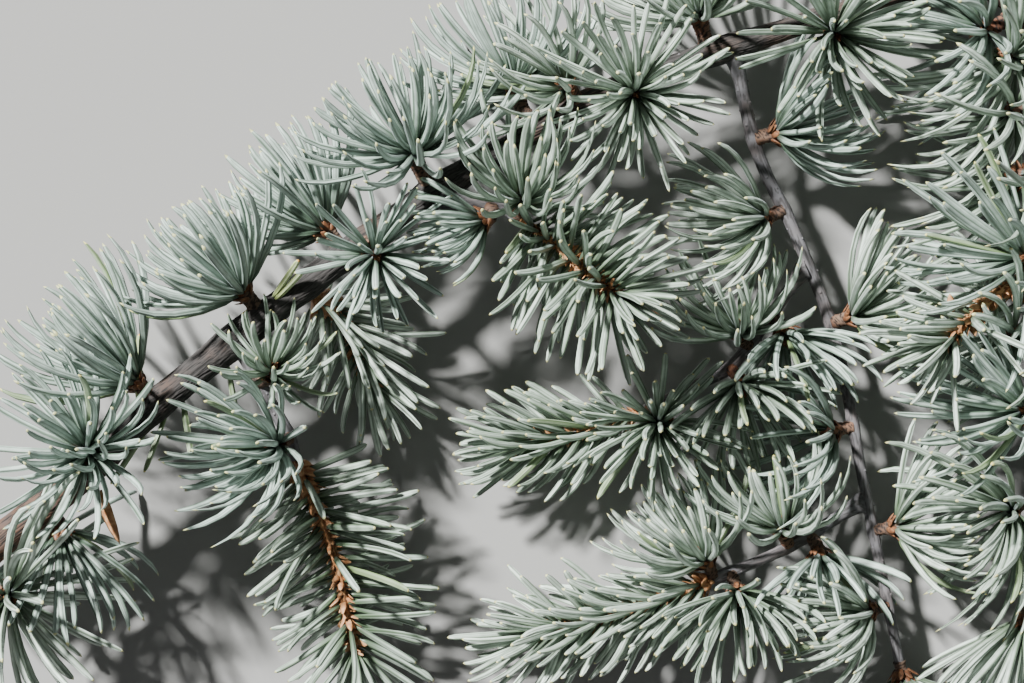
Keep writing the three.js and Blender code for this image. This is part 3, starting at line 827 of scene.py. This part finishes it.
def stacked_form(name, section, levels, cap_from=NO_CAP, ridged=False):
    """A closed form of rings one above the other, ending in a point. A level is its height and size."""
    sides = len(section)
    points = [(x * size, y * size, height) for height, size in levels[:-1] for x, y in section]
    points.append((0, 0, levels[-1][0]))
    faces = [tuple(reversed(range(sides)))]
    for k in range(len(levels) - 2):
        low = k * sides
        for side in range(sides):
            after = (side + 1) % sides
            faces.append((low + side, low + after, low + sides + after, low + sides + side))
    last = (len(levels) - 2) * sides
    faces += [(last + side, last + (side + 1) % sides, len(points) - 1) for side in range(sides)]
    mesh = bpy.data.meshes.new(name)
    mesh.from_pydata(points, [], faces)
    heights = np.array([point[2] for point in points])
    give(mesh, "along", heights)
    if ridged:
        for edge in mesh.edges:
            low, high = sorted(edge.vertices)
            edge.use_edge_sharp = high - low == sides and high < len(points) - 1
    give(mesh, "cap", [min(heights[list(face)]) >= cap_from for face in faces], "BOOLEAN", "FACE")
    unroll(mesh, sides, heights)
    return bpy.data.objects.new(name, mesh)


def unroll(mesh, sides, heights):
    """Gives a form a map that runs once round it and once along it, with its seam on the first corner."""
    turns = mesh.uv_layers.new(name=ROUND_AND_ALONG)
    for face in mesh.polygons:
        corners = [mesh.loops[k].vertex_index for k in face.loop_indices]
        shares = [(corner % sides) / sides for corner in corners]
        if max(shares) - min(shares) > HALF_TURN:
            shares = [value + 1 if value < HALF_TURN else value for value in shares]
        for loop, value, corner in zip(face.loop_indices, shares, corners):
            turns.data[loop].uv = (value, heights[corner])


def needle_form():
    """A needle, a little flattened, of nearly even thickness, with a blunt tip that ends in a point."""
    section = [(0.5, 0), (0.24, 0.34), (-0.24, 0.34), (-0.5, 0), (-0.24, -0.34), (0.24, -0.34)]
    levels = [
        (0, 0.5), (0.14, 0.88), (0.38, 1), (0.6, 1.03), (0.77, 1.01), (0.9, 0.94), (0.975, 0.58),
        (1, 0),
    ]
    return stacked_form("needle_form", section, levels, cap_from=0.97, ridged=True)


def scale_form():
    """A bud scale: broad and thin, hollow towards the stem, with a point."""
    section = [(-0.04, -0.5), (0.1, -0.3), (0.16, 0), (0.1, 0.3), (-0.04, 0.5), (0.04, 0)]
    levels = [(0, 0.75), (0.35, 1), (0.7, 0.72), (0.9, 0.34), (1, 0)]
    return stacked_form("scale_form", section, levels)


def cushion_form():
    """A leaf cushion: a low peg that leans up the stem, cut off where a needle stood on it."""
    section = [(math.cos(turn) * 0.5, math.sin(turn) * 0.5) for turn in np.arange(6) * math.tau / 6]
    levels = [(0, 1), (0.5, 0.85), (0.9, 0.6), (1, 0)]
    return stacked_form("cushion_form", section, levels, cap_from=0.85)


# Materials

class Finish(Network):
    """A node material on one Principled shader, made up of named steps."""

    def __init__(self, name, **constants):
        self.material = bpy.data.materials.new(name)
        self.material.use_nodes = True
        super().__init__(self.material.node_tree)
        self.shader = next(node for node in self.tree.nodes if node.type == "BSDF_PRINCIPLED")
        for socket, value in constants.items():
            self.shader.inputs[socket.replace("_", " ")].default_value = value

    def attribute(self, name):
        return self.add("ShaderNodeAttribute", out="Fac", attribute_name=name)

    def noise(self, scale, detail=2.0):
        place = self.add("ShaderNodeTexCoord", out="Object")
        return self.add("ShaderNodeTexNoise", {"Scale": scale, "Detail": detail, "Vector": place})

    def span(self, value, low, high, first=0.0, last=1.0):
        """Carries a value from low to high over to first to last, smoothly, and holds it there."""
        wires = {"Value": value, "From Min": low, "From Max": high, "To Min": first, "To Max": last}
        return self.add("ShaderNodeMapRange", wires, interpolation_type="SMOOTHSTEP")

    def mix(self, share, first, second):
        return self.add("ShaderNodeMix", {"Factor": share, 6: first, 7: second}, out=2, data_type="RGBA")

    def colour(self, value):
        self.wire(value, self.shader.inputs["Base Color"])

    def roughness(self, value):
        self.wire(value, self.shader.inputs["Roughness"])

    def bump(self, height, strength, distance):
        wires = {"Height": height, "Strength": strength, "Distance": distance}
        self.wire(self.add("ShaderNodeBump", wires, out="Normal"), self.shader.inputs["Normal"])


def shade(red, green, blue):
    return (red, green, blue, 1.0)


def needle_finish(name, bloom, green):
    """A needle's skin: green at its foot and along its edges, under a pale waxy bloom. The green is
    deepened, and reaches well up from the foot, as painted shade for the crowded middles of the tufts.
    """
    rib, edge, foot = (0.02, 0.1), (0.26, 0.47), (0.02, 0.62)
    patch, patch_grain, line_depth = (0.34, 0.66), 320.0, 0.00004
    finish = Finish(name, Sheen_Weight=0.15, Sheen_Roughness=0.4, Sheen_Tint=shade(0.8, 0.9, 0.95))
    turn = finish.parts(finish.add("ShaderNodeUVMap", uv_map=ROUND_AND_ALONG))[0]
    side = finish.math("FRACT", finish.times(turn, 2.0))
    off_middle = finish.math("ABSOLUTE", finish.minus(side, 0.5))
    off_edge = finish.span(off_middle, *edge, first=1.0, last=0.15)
    off_rib = finish.span(off_middle, *rib, first=0.5)
    # The green foot reaches well up the needle: partly its own green, partly painted shade for the depths
    # of the tufts.
    waxed_above_foot_green_and_shade = finish.span(finish.attribute("along"), *foot)
    patches = finish.span(finish.noise(patch_grain), *patch, first=0.66)
    share = finish.times(finish.times(waxed_above_foot_green_and_shade, patches), finish.times(off_edge, off_rib))
    skin = finish.mix(share, green, bloom)
    tone = finish.span(finish.attribute("tone"), 0.0, 1.0, last=0.34)
    finish.colour(finish.mix(tone, skin, green))
    finish.roughness(finish.span(share, 0.0, 1.0, first=0.38, last=0.56))
    lines = finish.math("SINE", finish.times(turn, NEEDLE_LINES * math.tau))
    finish.bump(lines, strength=0.25, distance=line_depth)
    return finish.material


def tip_finish(name, colour):
    """The dry yellowish tip of a needle, with paler spots."""
    spot, spot_grain = (0.35, 0.65), 900.0
    finish = Finish(name, Roughness=0.42)
    spots = finish.span(finish.noise(spot_grain), *spot)
    paler = shade(*[min(1, PALER * value) for value in colour[:3]])
    finish.colour(finish.mix(spots, colour, paler))
    return finish.material


def bark_finish(name, ridge, hollow, warm, pale, warm_to=0.0):
    """Bark by its stored cracks: dark in them, pale and weathered on the ridges.

    It is warmer in patches, and all over up to a distance along it if that is given.
    """
    weather, weather_grain, warmth, warmth_grain = (0.36, 0.7), 300.0, (0.46, 0.62), 70.0
    crack, whitest, pore_grain, pore_depth = (0.1, 0.85), 0.6, 2600.0, 0.00012
    finish = Finish(name)
    weathered = finish.span(finish.noise(weather_grain, 4.0), *weather)
    reddish = finish.span(finish.noise(warmth_grain, 3.0), *warmth)
    if warm_to:
        low = finish.span(finish.attribute("along"), warm_to * 0.5, warm_to, first=0.9, last=0.0)
        reddish = finish.math("MAXIMUM", finish.times(reddish, 0.5), low)
    skin = finish.mix(reddish, ridge, warm)
    skin = finish.mix(finish.times(weathered, whitest), skin, pale)
    finish.colour(finish.mix(finish.span(finish.attribute("crack"), *crack), skin, hollow))
    finish.roughness(finish.span(weathered, 0.0, 1.0, first=0.82, last=0.95))
    finish.bump(finish.noise(pore_grain, 4.0), strength=0.5, distance=pore_depth)
    return finish.material


def scale_finish(name, body, rim, gloss):
    """Papery bud scales: warm, thinner and paler towards the tip, with fine lengthwise fibres."""
    fibre, fibre_grain, fibre_depth, thin_from = (0.35, 0.65), 1500.0, 0.00008, 0.5
    dull, duller = (0.3, 0.7), 0.2
    finish = Finish(name)
    fibres = finish.noise(fibre_grain, 3.0)
    base = finish.mix(finish.span(fibres, *fibre, last=0.55), body, rim)
    tone = finish.span(finish.attribute("tone"), 0.0, 1.0, last=0.5)
    thin = finish.span(finish.attribute("along"), thin_from, 1.0)
    finish.colour(finish.mix(finish.times(thin, tone), base, rim))
    finish.roughness(finish.span(fibres, *dull, first=gloss, last=gloss + duller))
    finish.bump(fibres, strength=0.3, distance=fibre_depth)
    return finish.material


def cut_wood_finish():
    """Fresh end grain: close growth rings round a brown pith."""
    early, late, rim, pith = (
        shade(0.56, 0.39, 0.22), shade(0.38, 0.22, 0.11), shade(0.16, 0.07, 0.035), shade(0.14, 0.07, 0.04))
    late_wood, bark_edge, pith_edge = (-0.2, 0.9), (0.9, 0.97), (0.07, 0.13)
    saw_grain, saw_depth = 2500.0, 0.00006
    finish = Finish("cut_wood", Roughness=0.78)
    ring = finish.attribute("ring")
    waves = finish.math("SINE", finish.times(ring, GROWTH_RINGS * math.tau))
    wood = finish.mix(finish.span(waves, *late_wood), early, late)
    wood = finish.mix(finish.span(ring, *bark_edge), wood, rim)
    finish.colour(finish.mix(finish.span(ring, *pith_edge), pith, wood))
    finish.bump(finish.plus(waves, finish.noise(saw_grain)), strength=0.4, distance=saw_depth)
    return finish.material


# What the trees read: points that carry copies of a form, and lines that carry a tube

def row(at, way, side, length, width, tone, lean=(0.0, 0.0, 0.0)):
    """One copy of a form: its place, the way it points, the side it faces, and its sizes in millimetres."""
    return {
        "at": np.array(at), "aim": way, "side": side, "lean": np.array(lean) * MM,
        "long": length * MM, "wide": width * MM, "tone": tone,
    }


def points_mesh(name, rows, shift):
    """Loose points that carry the rows' values."""
    mesh = bpy.data.meshes.new(name)
    mesh.from_pydata([(row["at"] + shift) * MM for row in rows], [], [])
    for key in ("aim", "side", "lean"):
        give(mesh, key, np.array([row[key] for row in rows]).ravel(), "FLOAT_VECTOR")
    for key in ("long", "wide", "tone"):
        give(mesh, key, [row[key] for row in rows])
    return mesh


def lines_mesh(name, lines, shift):
    """Loose lines with a girth at each point, and a number that sets each line's grain apart."""
    points, girths, births, edges = [], [], [], []
    for k, (places, radii) in enumerate(lines):
        first = len(points)
        points += [tuple((place + shift) * MM) for place in places]
        girths += [radius * MM for radius in radii]
        births += [k * GRAIN_APART] * len(places)
        edges += [(first + step, first + step + 1) for step in range(len(places) - 1)]
    mesh = bpy.data.meshes.new(name)
    mesh.from_pydata(points, edges, [])
    give(mesh, "girth", girths)
    give(mesh, "born", births)
    return mesh


def keep(piece, nodes=()):
    """Puts a finished piece on the bough's one body and hides the solids that it stands for."""
    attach(piece, "root")
    if nodes:
        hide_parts(*nodes)
    return piece


def dress_bark(tree, name, lines, shift, skin, nodes):
    """Runs the bark tree on lines with their radii and keeps the piece."""
    sides, step, relief, grain, stretch, seed = BARKS[name]
    piece = tree.dress(name, lines_mesh(name + "_lines", lines, shift), {
        "Sides": sides, "Step": step * MM, "Relief": relief * MM, "Grain": grain, "Stretch": stretch,
        "Seed": seed, "Bark": skin})
    return keep(piece, nodes)


def dress_spray(tree, name, rows, shift, form, body, tip, slot, nodes=(), **sizes):
    """Runs the spray tree on rows of copies and keeps the piece."""
    values = {"Form": form, "Width Spread": 0.0, "Twist": 0.0, "Hook": 0.0, "Floor": OFF_FLOOR * MM,
              "Seed": 1, "Body": body, "Tip": tip}
    values.update({key.replace("_", " "): value for key, value in sizes.items()})
    piece = tree.dress(name, points_mesh(name + "_points", rows, shift), values)
    for key in ("aim", "side", "lean", "long", "wide", "cap"):
        spent = piece.data.attributes.get(key)
        if spent is not None:
            piece.data.attributes.remove(spent)
    return keep(piece, nodes)


# Bark and wood

def swollen(limb, distances, spots):
    """A limb's radii, swollen where stems leave it: each spot has its place, height and reach."""
    radii = limb.radius(distances)
    for at, height, reach in spots:
        radii = radii + height * np.exp(-((distances - at) / reach) ** 2)
    return radii


def limb_lines(limbs):
    """The main limb in one length, swollen at its twigs, spurs and side shoots."""
    limb, step = limbs["main"], 0.5
    spots = [(at, *TWIG_SWELL) for on, at, _, _ in TWIGS.values() if on == "main"]
    spots += [(tuft[0], *SPUR_SWELL) for tuft in TUFTS["main"]]
    spots += [(at, *SHOOT_SWELL) for on, at, *_ in SHOOTS.values() if on == "main"]
    distances = np.arange(0, limb.length, step)
    return [(limb.places(distances), swollen(limb, distances, spots))]


def twig_lines(limbs):
    """The five side twigs, each flared where it leaves its limb and rooted inside it."""
    step, flare, flare_reach, rooted, root_girth = 0.4, 0.75, 1.6, 0.45, 1.1
    lines = []
    for name, (on, at, _, _) in TWIGS.items():
        limb, parent = limbs[name], limbs[on]
        spots = [(tuft[0], *SMALL_SPUR_SWELL) for tuft in TUFTS[name]]
        distances = np.arange(0, limb.length, step)
        radii = swollen(limb, distances, spots) + flare * np.exp(-distances / flare_reach)
        inner = parent.place(at) + (limb.place(0) - parent.place(at)) * rooted
        lines.append(([inner, *limb.places(distances)], [radii[0] * root_girth, *radii]))
    return lines


def spur_lines(tufts):
    """The pegs that carry the tufts, ringed by each year's bud scales and domed at the top."""
    step, ring_height, ring_pitch = 0.14, 0.13, 0.68
    foot_height, foot_reach = 0.4, 0.9
    dome, dome_over, dome_least = 1.1, 0.15, 0.02
    lines = []
    for mass in tufts:
        length = mass.line.length
        distances = np.arange(0, length, step)
        rings = ring_height * np.abs(np.sin(distances * math.pi / ring_pitch))
        stages = (0, length * SPUR_KNEE, length - dome)
        widening = np.interp(distances, stages, (mass.girth, mass.girth, HEAD_GIRTH))
        foot = foot_height * mass.girth * np.exp(-distances / foot_reach)
        closing = np.sqrt(np.clip((length + dome_over - distances) / dome, dome_least, 1))
        lines.append((mass.line.places(distances), (widening + rings + foot) * closing))
    return lines


def stem_lines(shoots):
    """The thin stems of the long shoots, stout at the foot, thin at the end and rooted in the wood."""
    step, foot, end, rooted = 0.3, 3, 2, 1.4
    shares = (1.15, 1, 0.85, 0.4)
    lines = []
    for mass in shoots:
        length = mass.line.length
        distances = np.arange(0, length, step)
        radii = np.interp(distances, (0, foot, length - end, length), shares) * SHOOT_RADIUS
        start = mass.line.place(0) - mass.line.heading(0) * rooted
        lines.append(([start, *mass.line.places(distances)], [radii[0], *radii]))
    return lines


def cut_wood(limbs, shift, material):
    """The end grain of the cut: a slightly domed disc with rings and a sunken pith."""
    rings, sides = 26, 64
    fit, dome, fall, relief = 0.99, 0.16, 0.2, 0.035
    pith_depth, back_depth = 0.1, 0.6
    wavy = ((0.02, 3, 1), (0.012, 7, 0))  # the rim's waves: height, how many to a turn, and start
    limb = limbs["main"]
    way = limb.heading(0)
    centre = limb.place(0) + shift
    points, shares = [], []
    for k in range(1, rings + 1):
        share = k / rings
        swell = dome - fall * share ** 4 + relief * math.cos(share * GROWTH_RINGS * math.tau)
        for turn in np.arange(sides) * math.tau / sides:
            wander = sum((high * math.sin(many * turn + start) for high, many, start in wavy), 1)
            out = around(way, turn)
            points.append((centre + out * share * CUT_RADIUS * fit * wander - way * swell) * MM)
            shares.append(share)
    pith = len(points)
    back = pith + 1
    points += [(centre + way * pith_depth) * MM, (centre + way * back_depth) * MM]
    shares += [0.0, 1.0]
    last = (rings - 1) * sides
    faces = []
    for side in range(sides):
        after = (side + 1) % sides
        faces += [(pith, after, side), (back, last + side, last + after)]
        for low in range(0, last, sides):
            high = low + sides
            faces.append((low + side, low + after, high + after, high + side))
    mesh = bpy.data.meshes.new("cut_wood")
    mesh.from_pydata([tuple(point) for point in points], [], faces)
    give(mesh, "ring", shares)
    mesh.shade_smooth()
    mesh.materials.append(material)
    return keep(stand("cut_wood", mesh))


# Bud scales, buds and leaf cushions. Two numbers in brackets are the limits of a spread.

def collar_scales(tufts, random):
    """Bud scales that stay round the head of each spur, under its needles."""
    count, stray, lowest, rise, sunk, curl = 18, 0.2, -1.1, 1.3, 0.3, 0.25
    upward, outward, lengths, widths = (0.5, 0.9), (0.5, 0.8), (1.3, 2.2), (1.1, 1.6)
    rows = []
    for mass in tufts:
        for k in range(count):
            out = around(mass.axis, k * GOLDEN_ANGLE + random.normal(0, stray))
            lift = lowest + rise * k / count
            way = unit(mass.axis * random.uniform(*upward) + out * random.uniform(*outward))
            at = mass.head + mass.axis * lift + out * (HEAD_GIRTH - sunk)
            rows.append(row(at, way, out, random.uniform(*lengths), random.uniform(*widths),
                            random.random(), lean=out * curl))
    return rows


def resting_buds(masses, random):
    """The small closed bud in the middle of each tuft and at the end of each shoot."""
    count, open_by, foot, rise, curl = 15, 30, 0.42, 0.4, 0.45
    lengths, width, narrower = (1.25, 1.5), 0.85, 0.3
    in_head, over_end = 0.62, -0.3
    seats = {"tuft": HEAD_HEIGHT * in_head, "shoot": over_end}
    rows = []
    for mass in masses:
        start = mass.head + mass.axis * seats[mass.kind]
        for k in range(count):
            share = k / (count - 1)
            out = around(mass.axis, k * GOLDEN_ANGLE)
            lean = math.radians(open_by * (1 - share))
            way = mass.axis * math.cos(lean) + out * math.sin(lean)
            at = start + out * (foot * (1 - share)) + mass.axis * share * rise
            rows.append(row(at, way, out, random.uniform(*lengths), width - narrower * share,
                            random.random(), lean=-out * curl))
    return rows


def papery_scales(shoots, random):
    """Loose orange-brown scales along the long shoots, thickest at their feet and ends."""
    pitch, stray, depth, foot, at_foot, end, at_end = 0.22, 0.3, 0.75, 6, 44, 2.5, 14
    upward, outward, sideways = (0.3, 1.1), (0.3, 1.1), 0.35
    lengths, widths, curls = (0.8, 1.7), (0.6, 1.1), (0, 0.7)
    size, wave, wave_length, foot_swell, foot_reach = 1.12, 0.5, 3.4, 0.5, 8
    rows = []
    for mass in shoots:
        length = mass.line.length
        first = SCALY_FROM.get(mass.name, 0) * length
        along = np.concatenate([
            np.arange(first + 1, length, pitch), np.linspace(first, first + foot, at_foot),
            np.linspace(length - end, length, at_end)])
        for k, distance in enumerate(along):
            way = mass.line.heading(distance)
            out = around(way, k * GOLDEN_ANGLE + random.normal(0, stray))
            at = mass.line.place(distance) + out * SHOOT_RADIUS * depth
            up = unit(way * random.uniform(*upward) + out * random.uniform(*outward)
                      + np.cross(way, out) * random.normal(0, sideways))
            swell = size + wave * math.sin(distance * math.tau / wave_length)
            swell += foot_swell * math.exp(-(distance - first) / foot_reach)
            rows.append(row(at, up, out, random.uniform(*lengths) * swell, random.uniform(*widths) * swell,
                            random.random(), lean=out * random.uniform(*curls)))
    return rows


def leaf_cushions(shoots, random):
    """Pegs under the needles of the shoots."""
    outside, back, upward, height, widths, aside = 0.3, 0.35, 0.55, 0.75, (0.6, 0.8), 0.01
    stops = 80
    rows = []
    for mass in shoots:
        distances = np.linspace(0, mass.line.length, stops)
        places = np.array(mass.line.places(distances))
        for needle in mass.needles:
            at = distances[np.argmin(np.linalg.norm(places - needle.root, axis=1))]
            way = mass.line.heading(at)
            out = square(needle.root - mass.line.place(at) + needle.way * aside, way)
            start = needle.root - out * outside - way * back
            rows.append(row(start, unit(way * upward + out), out, height, random.uniform(*widths),
                            random.random()))
    return rows


def worn_cushions(limbs, random):
    """The worn pegs that stay on the twigs and the limb's end after their needles have dropped."""
    stray, sunk, upward, outward, heights, widths = 0.25, 0.22, 0.8, 0.9, (0.32, 0.5), (0.8, 1.2)
    # Where they start, how far apart they are, and their usual width
    stretches = {name: (1.5, 1.2, 0.55) for name in TWIGS}
    stretches["main"] = (110, 1.1, 0.7)
    rows = []
    for name, (start, pitch, width) in stretches.items():
        limb = limbs[name]
        for k, distance in enumerate(np.arange(start, limb.length, pitch)):
            way = limb.heading(distance)
            out = around(way, k * GOLDEN_ANGLE + random.normal(0, stray))
            at = limb.place(distance) + out * (limb.radius(distance) - sunk)
            rows.append(row(at, unit(way * upward + out * outward), out, random.uniform(*heights),
                            width * random.uniform(*widths), random.random()))
    return rows


# Needles and blades

def needle_rows(masses, random):
    """The needles of every mass, dealt out by tint, with some green ones that lack the bloom."""
    rows = {tint: [] for tint in (*TINT_SHARES, "green")}
    names = {tint: [] for tint in TINT_SHARES}
    for mass in masses:
        tint = random.choice(list(TINT_SHARES), p=list(TINT_SHARES.values()))
        names[tint].append(mass.name)
        for needle in mass.needles:
            chosen = "green" if random.random() < GREEN_SHARE else tint
            rows[chosen].append(row(needle.root, needle.way, unit(needle.lean), needle.length, needle.width,
                                    random.random(), lean=needle.lean))
    return rows, names


def placed_rows(placed, tone, lift):
    """Copies that stand by themselves, with tips that are lifted a little, or droop."""
    return [row(at, unit(np.array(way)), UP, length, width, tone, lean=UP * lift)
            for at, way, length, width in placed]


# Floor, light and camera

def make_floor():
    """A plain pale floor, wide enough to reach the edges of every view from above."""
    half = 8
    corners = [(-half, -half, 0), (half, -half, 0), (half, half, 0), (-half, half, 0)]
    mesh = bpy.data.meshes.new("floor")
    mesh.from_pydata(corners, [], [(0, 1, 2, 3)])
    finish = Finish("pale_floor", Roughness=0.9)
    finish.colour(FLOOR_SHADE)
    mesh.materials.append(finish.material)
    floor = stand("floor", mesh)
    floor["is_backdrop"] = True


def make_light():
    """An even key light from the upper left, and a soft sky."""
    light = bpy.data.lights.new("key", "SUN")
    light.energy = KEY_ENERGY
    light.angle = math.radians(KEY_SPREAD)
    light.color = KEY_SHADE
    stand("key", light).rotation_euler = Vector(KEY_WAY).to_track_quat("-Z", "Y").to_euler()
    world = bpy.data.worlds.new("studio")
    world.use_nodes = True
    sky = world.node_tree.nodes["Background"]
    sky.inputs["Color"].default_value = SKY_SHADE
    sky.inputs["Strength"].default_value = SKY_STRENGTH
    bpy.context.scene.world = world


def make_camera(shift):
    """The camera, straight above the middle of what the photograph shows."""
    camera = bpy.data.cameras.new("camera")
    camera.lens = 100
    camera.clip_start = 0.01
    camera.clip_end = 20
    distance = PHOTO_WIDTH * camera.lens / camera.sensor_width
    view = stand("camera", camera)
    view.location = (PHOTO_MIDDLE + shift) * MM + UP * distance * MM
    bpy.context.scene.camera = view


limbs = make_limbs()
shift = layout_shift(limbs["main"])
make_floor()
make_light()
make_camera(shift)
masses = make_masses(limbs)
grow(limbs, masses)
tufts = [mass for mass in masses if mass.kind == "tuft"]
shoots = [mass for mass in masses if mass.kind == "shoot"]

bark = bark_tree()
spray = spray_tree()
# The limb's bark colours are darkened beyond the bark's own, as painted shade from the tufts above the
# limb.
old_bark = bark_finish("old_bark", shade(0.037, 0.032, 0.032), shade(0.015, 0.013, 0.013),
                       shade(0.12, 0.055, 0.033), shade(0.064, 0.059, 0.06), warm_to=0.042)
twig_skin = bark_finish("twig_skin", shade(0.12, 0.112, 0.122), shade(0.072, 0.066, 0.07),
                        shade(0.125, 0.1, 0.1), shade(0.18, 0.177, 0.198))
spur_skin = bark_finish("spur_skin", shade(0.09, 0.05, 0.035), shade(0.02, 0.012, 0.01),
                        shade(0.15, 0.055, 0.028), shade(0.19, 0.13, 0.095))
shoot_skin = bark_finish("shoot_skin", shade(0.34, 0.19, 0.08), shade(0.12, 0.05, 0.02),
                         shade(0.42, 0.17, 0.06), shade(0.46, 0.33, 0.17))
for name, lines, skin, nodes in (
        ("limb_bark", limb_lines(limbs), old_bark, ("limb_lower", "limb_arch", "limb_drooping")),
        ("twig_bark", twig_lines(limbs), twig_skin, tuple(TWIGS)),
        ("spur_pegs", spur_lines(tufts), spur_skin, tuple(mass.name for mass in tufts)),
        ("shoot_stems", stem_lines(shoots), shoot_skin, tuple(mass.name for mass in shoots))):
    dress_bark(bark, name, lines, shift, skin, nodes)
cut_wood(limbs, shift, cut_wood_finish())

random = np.random.default_rng(2)
brown_scale = scale_finish("brown_scale", shade(0.13, 0.05, 0.025), shade(0.3, 0.13, 0.055), 0.5)
orange_scale = scale_finish("orange_scale", shade(0.35, 0.14, 0.055), shade(0.64, 0.38, 0.2), 0.42)
scale, cushion, needle = scale_form(), cushion_form(), needle_form()
for name, rows, form, skin, sizes in (
        ("collar_scales", collar_scales(tufts, random), scale, brown_scale, {"Twist": 0.15}),
        ("resting_buds", resting_buds(masses, random), scale, brown_scale, {}),
        ("papery_scales", papery_scales(shoots, random) + placed_rows(DRY_BLADES, tone=0.3, lift=-0.8),
         scale, orange_scale, {"Twist": 0.35}),
        ("leaf_cushions", leaf_cushions(shoots, random), cushion, shoot_skin, {"Width_Spread": 0.1}),
        ("worn_cushions", worn_cushions(limbs, random), cushion, twig_skin, {"Width_Spread": 0.1})):
    dress_spray(spray, name, rows, shift, form, skin, skin, "bark", **sizes)

# Each tint of needle: its bloom, the green under that, and its tip. For the bloomed tints that green is
# darkened as painted shade for the depths of the tufts.
tints = {
    "silver": (shade(0.7, 0.795, 0.725), shade(0.075, 0.115, 0.065), shade(0.49, 0.48, 0.25)),
    "blue": (shade(0.58, 0.69, 0.645), shade(0.057, 0.095, 0.06), shade(0.43, 0.43, 0.22)),
    "grey": (shade(0.52, 0.61, 0.54), shade(0.062, 0.1, 0.052), shade(0.41, 0.39, 0.19)),
    "green": (shade(0.36, 0.44, 0.3), shade(0.12, 0.18, 0.07), shade(0.5, 0.46, 0.17)),
    "yellow": (shade(0.48, 0.55, 0.35), shade(0.34, 0.4, 0.15), shade(0.62, 0.34, 0.1)),
}
rows, names = needle_rows(masses, random)
rows["yellow"] = placed_rows(YELLOW_NEEDLES, tone=0.5, lift=1.2)
rows["green"] += placed_rows(GREEN_NEEDLES, tone=0.5, lift=1.2)
for tint, copies in rows.items():
    bloom, green, tip = tints[tint]
    dress_spray(spray, "needles_" + tint, copies, shift, needle,
                needle_finish(tint + "_needle", bloom, green), tip_finish(tint + "_tip", tip), "needles",
                names.get(tint, ()), Twist=1.2, Hook=HOOK, Width_Spread=0.05)

sizes = {
    "cad": [list(corner) for corner in cad_box],
    "visual": [list(corner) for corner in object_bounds()],
}
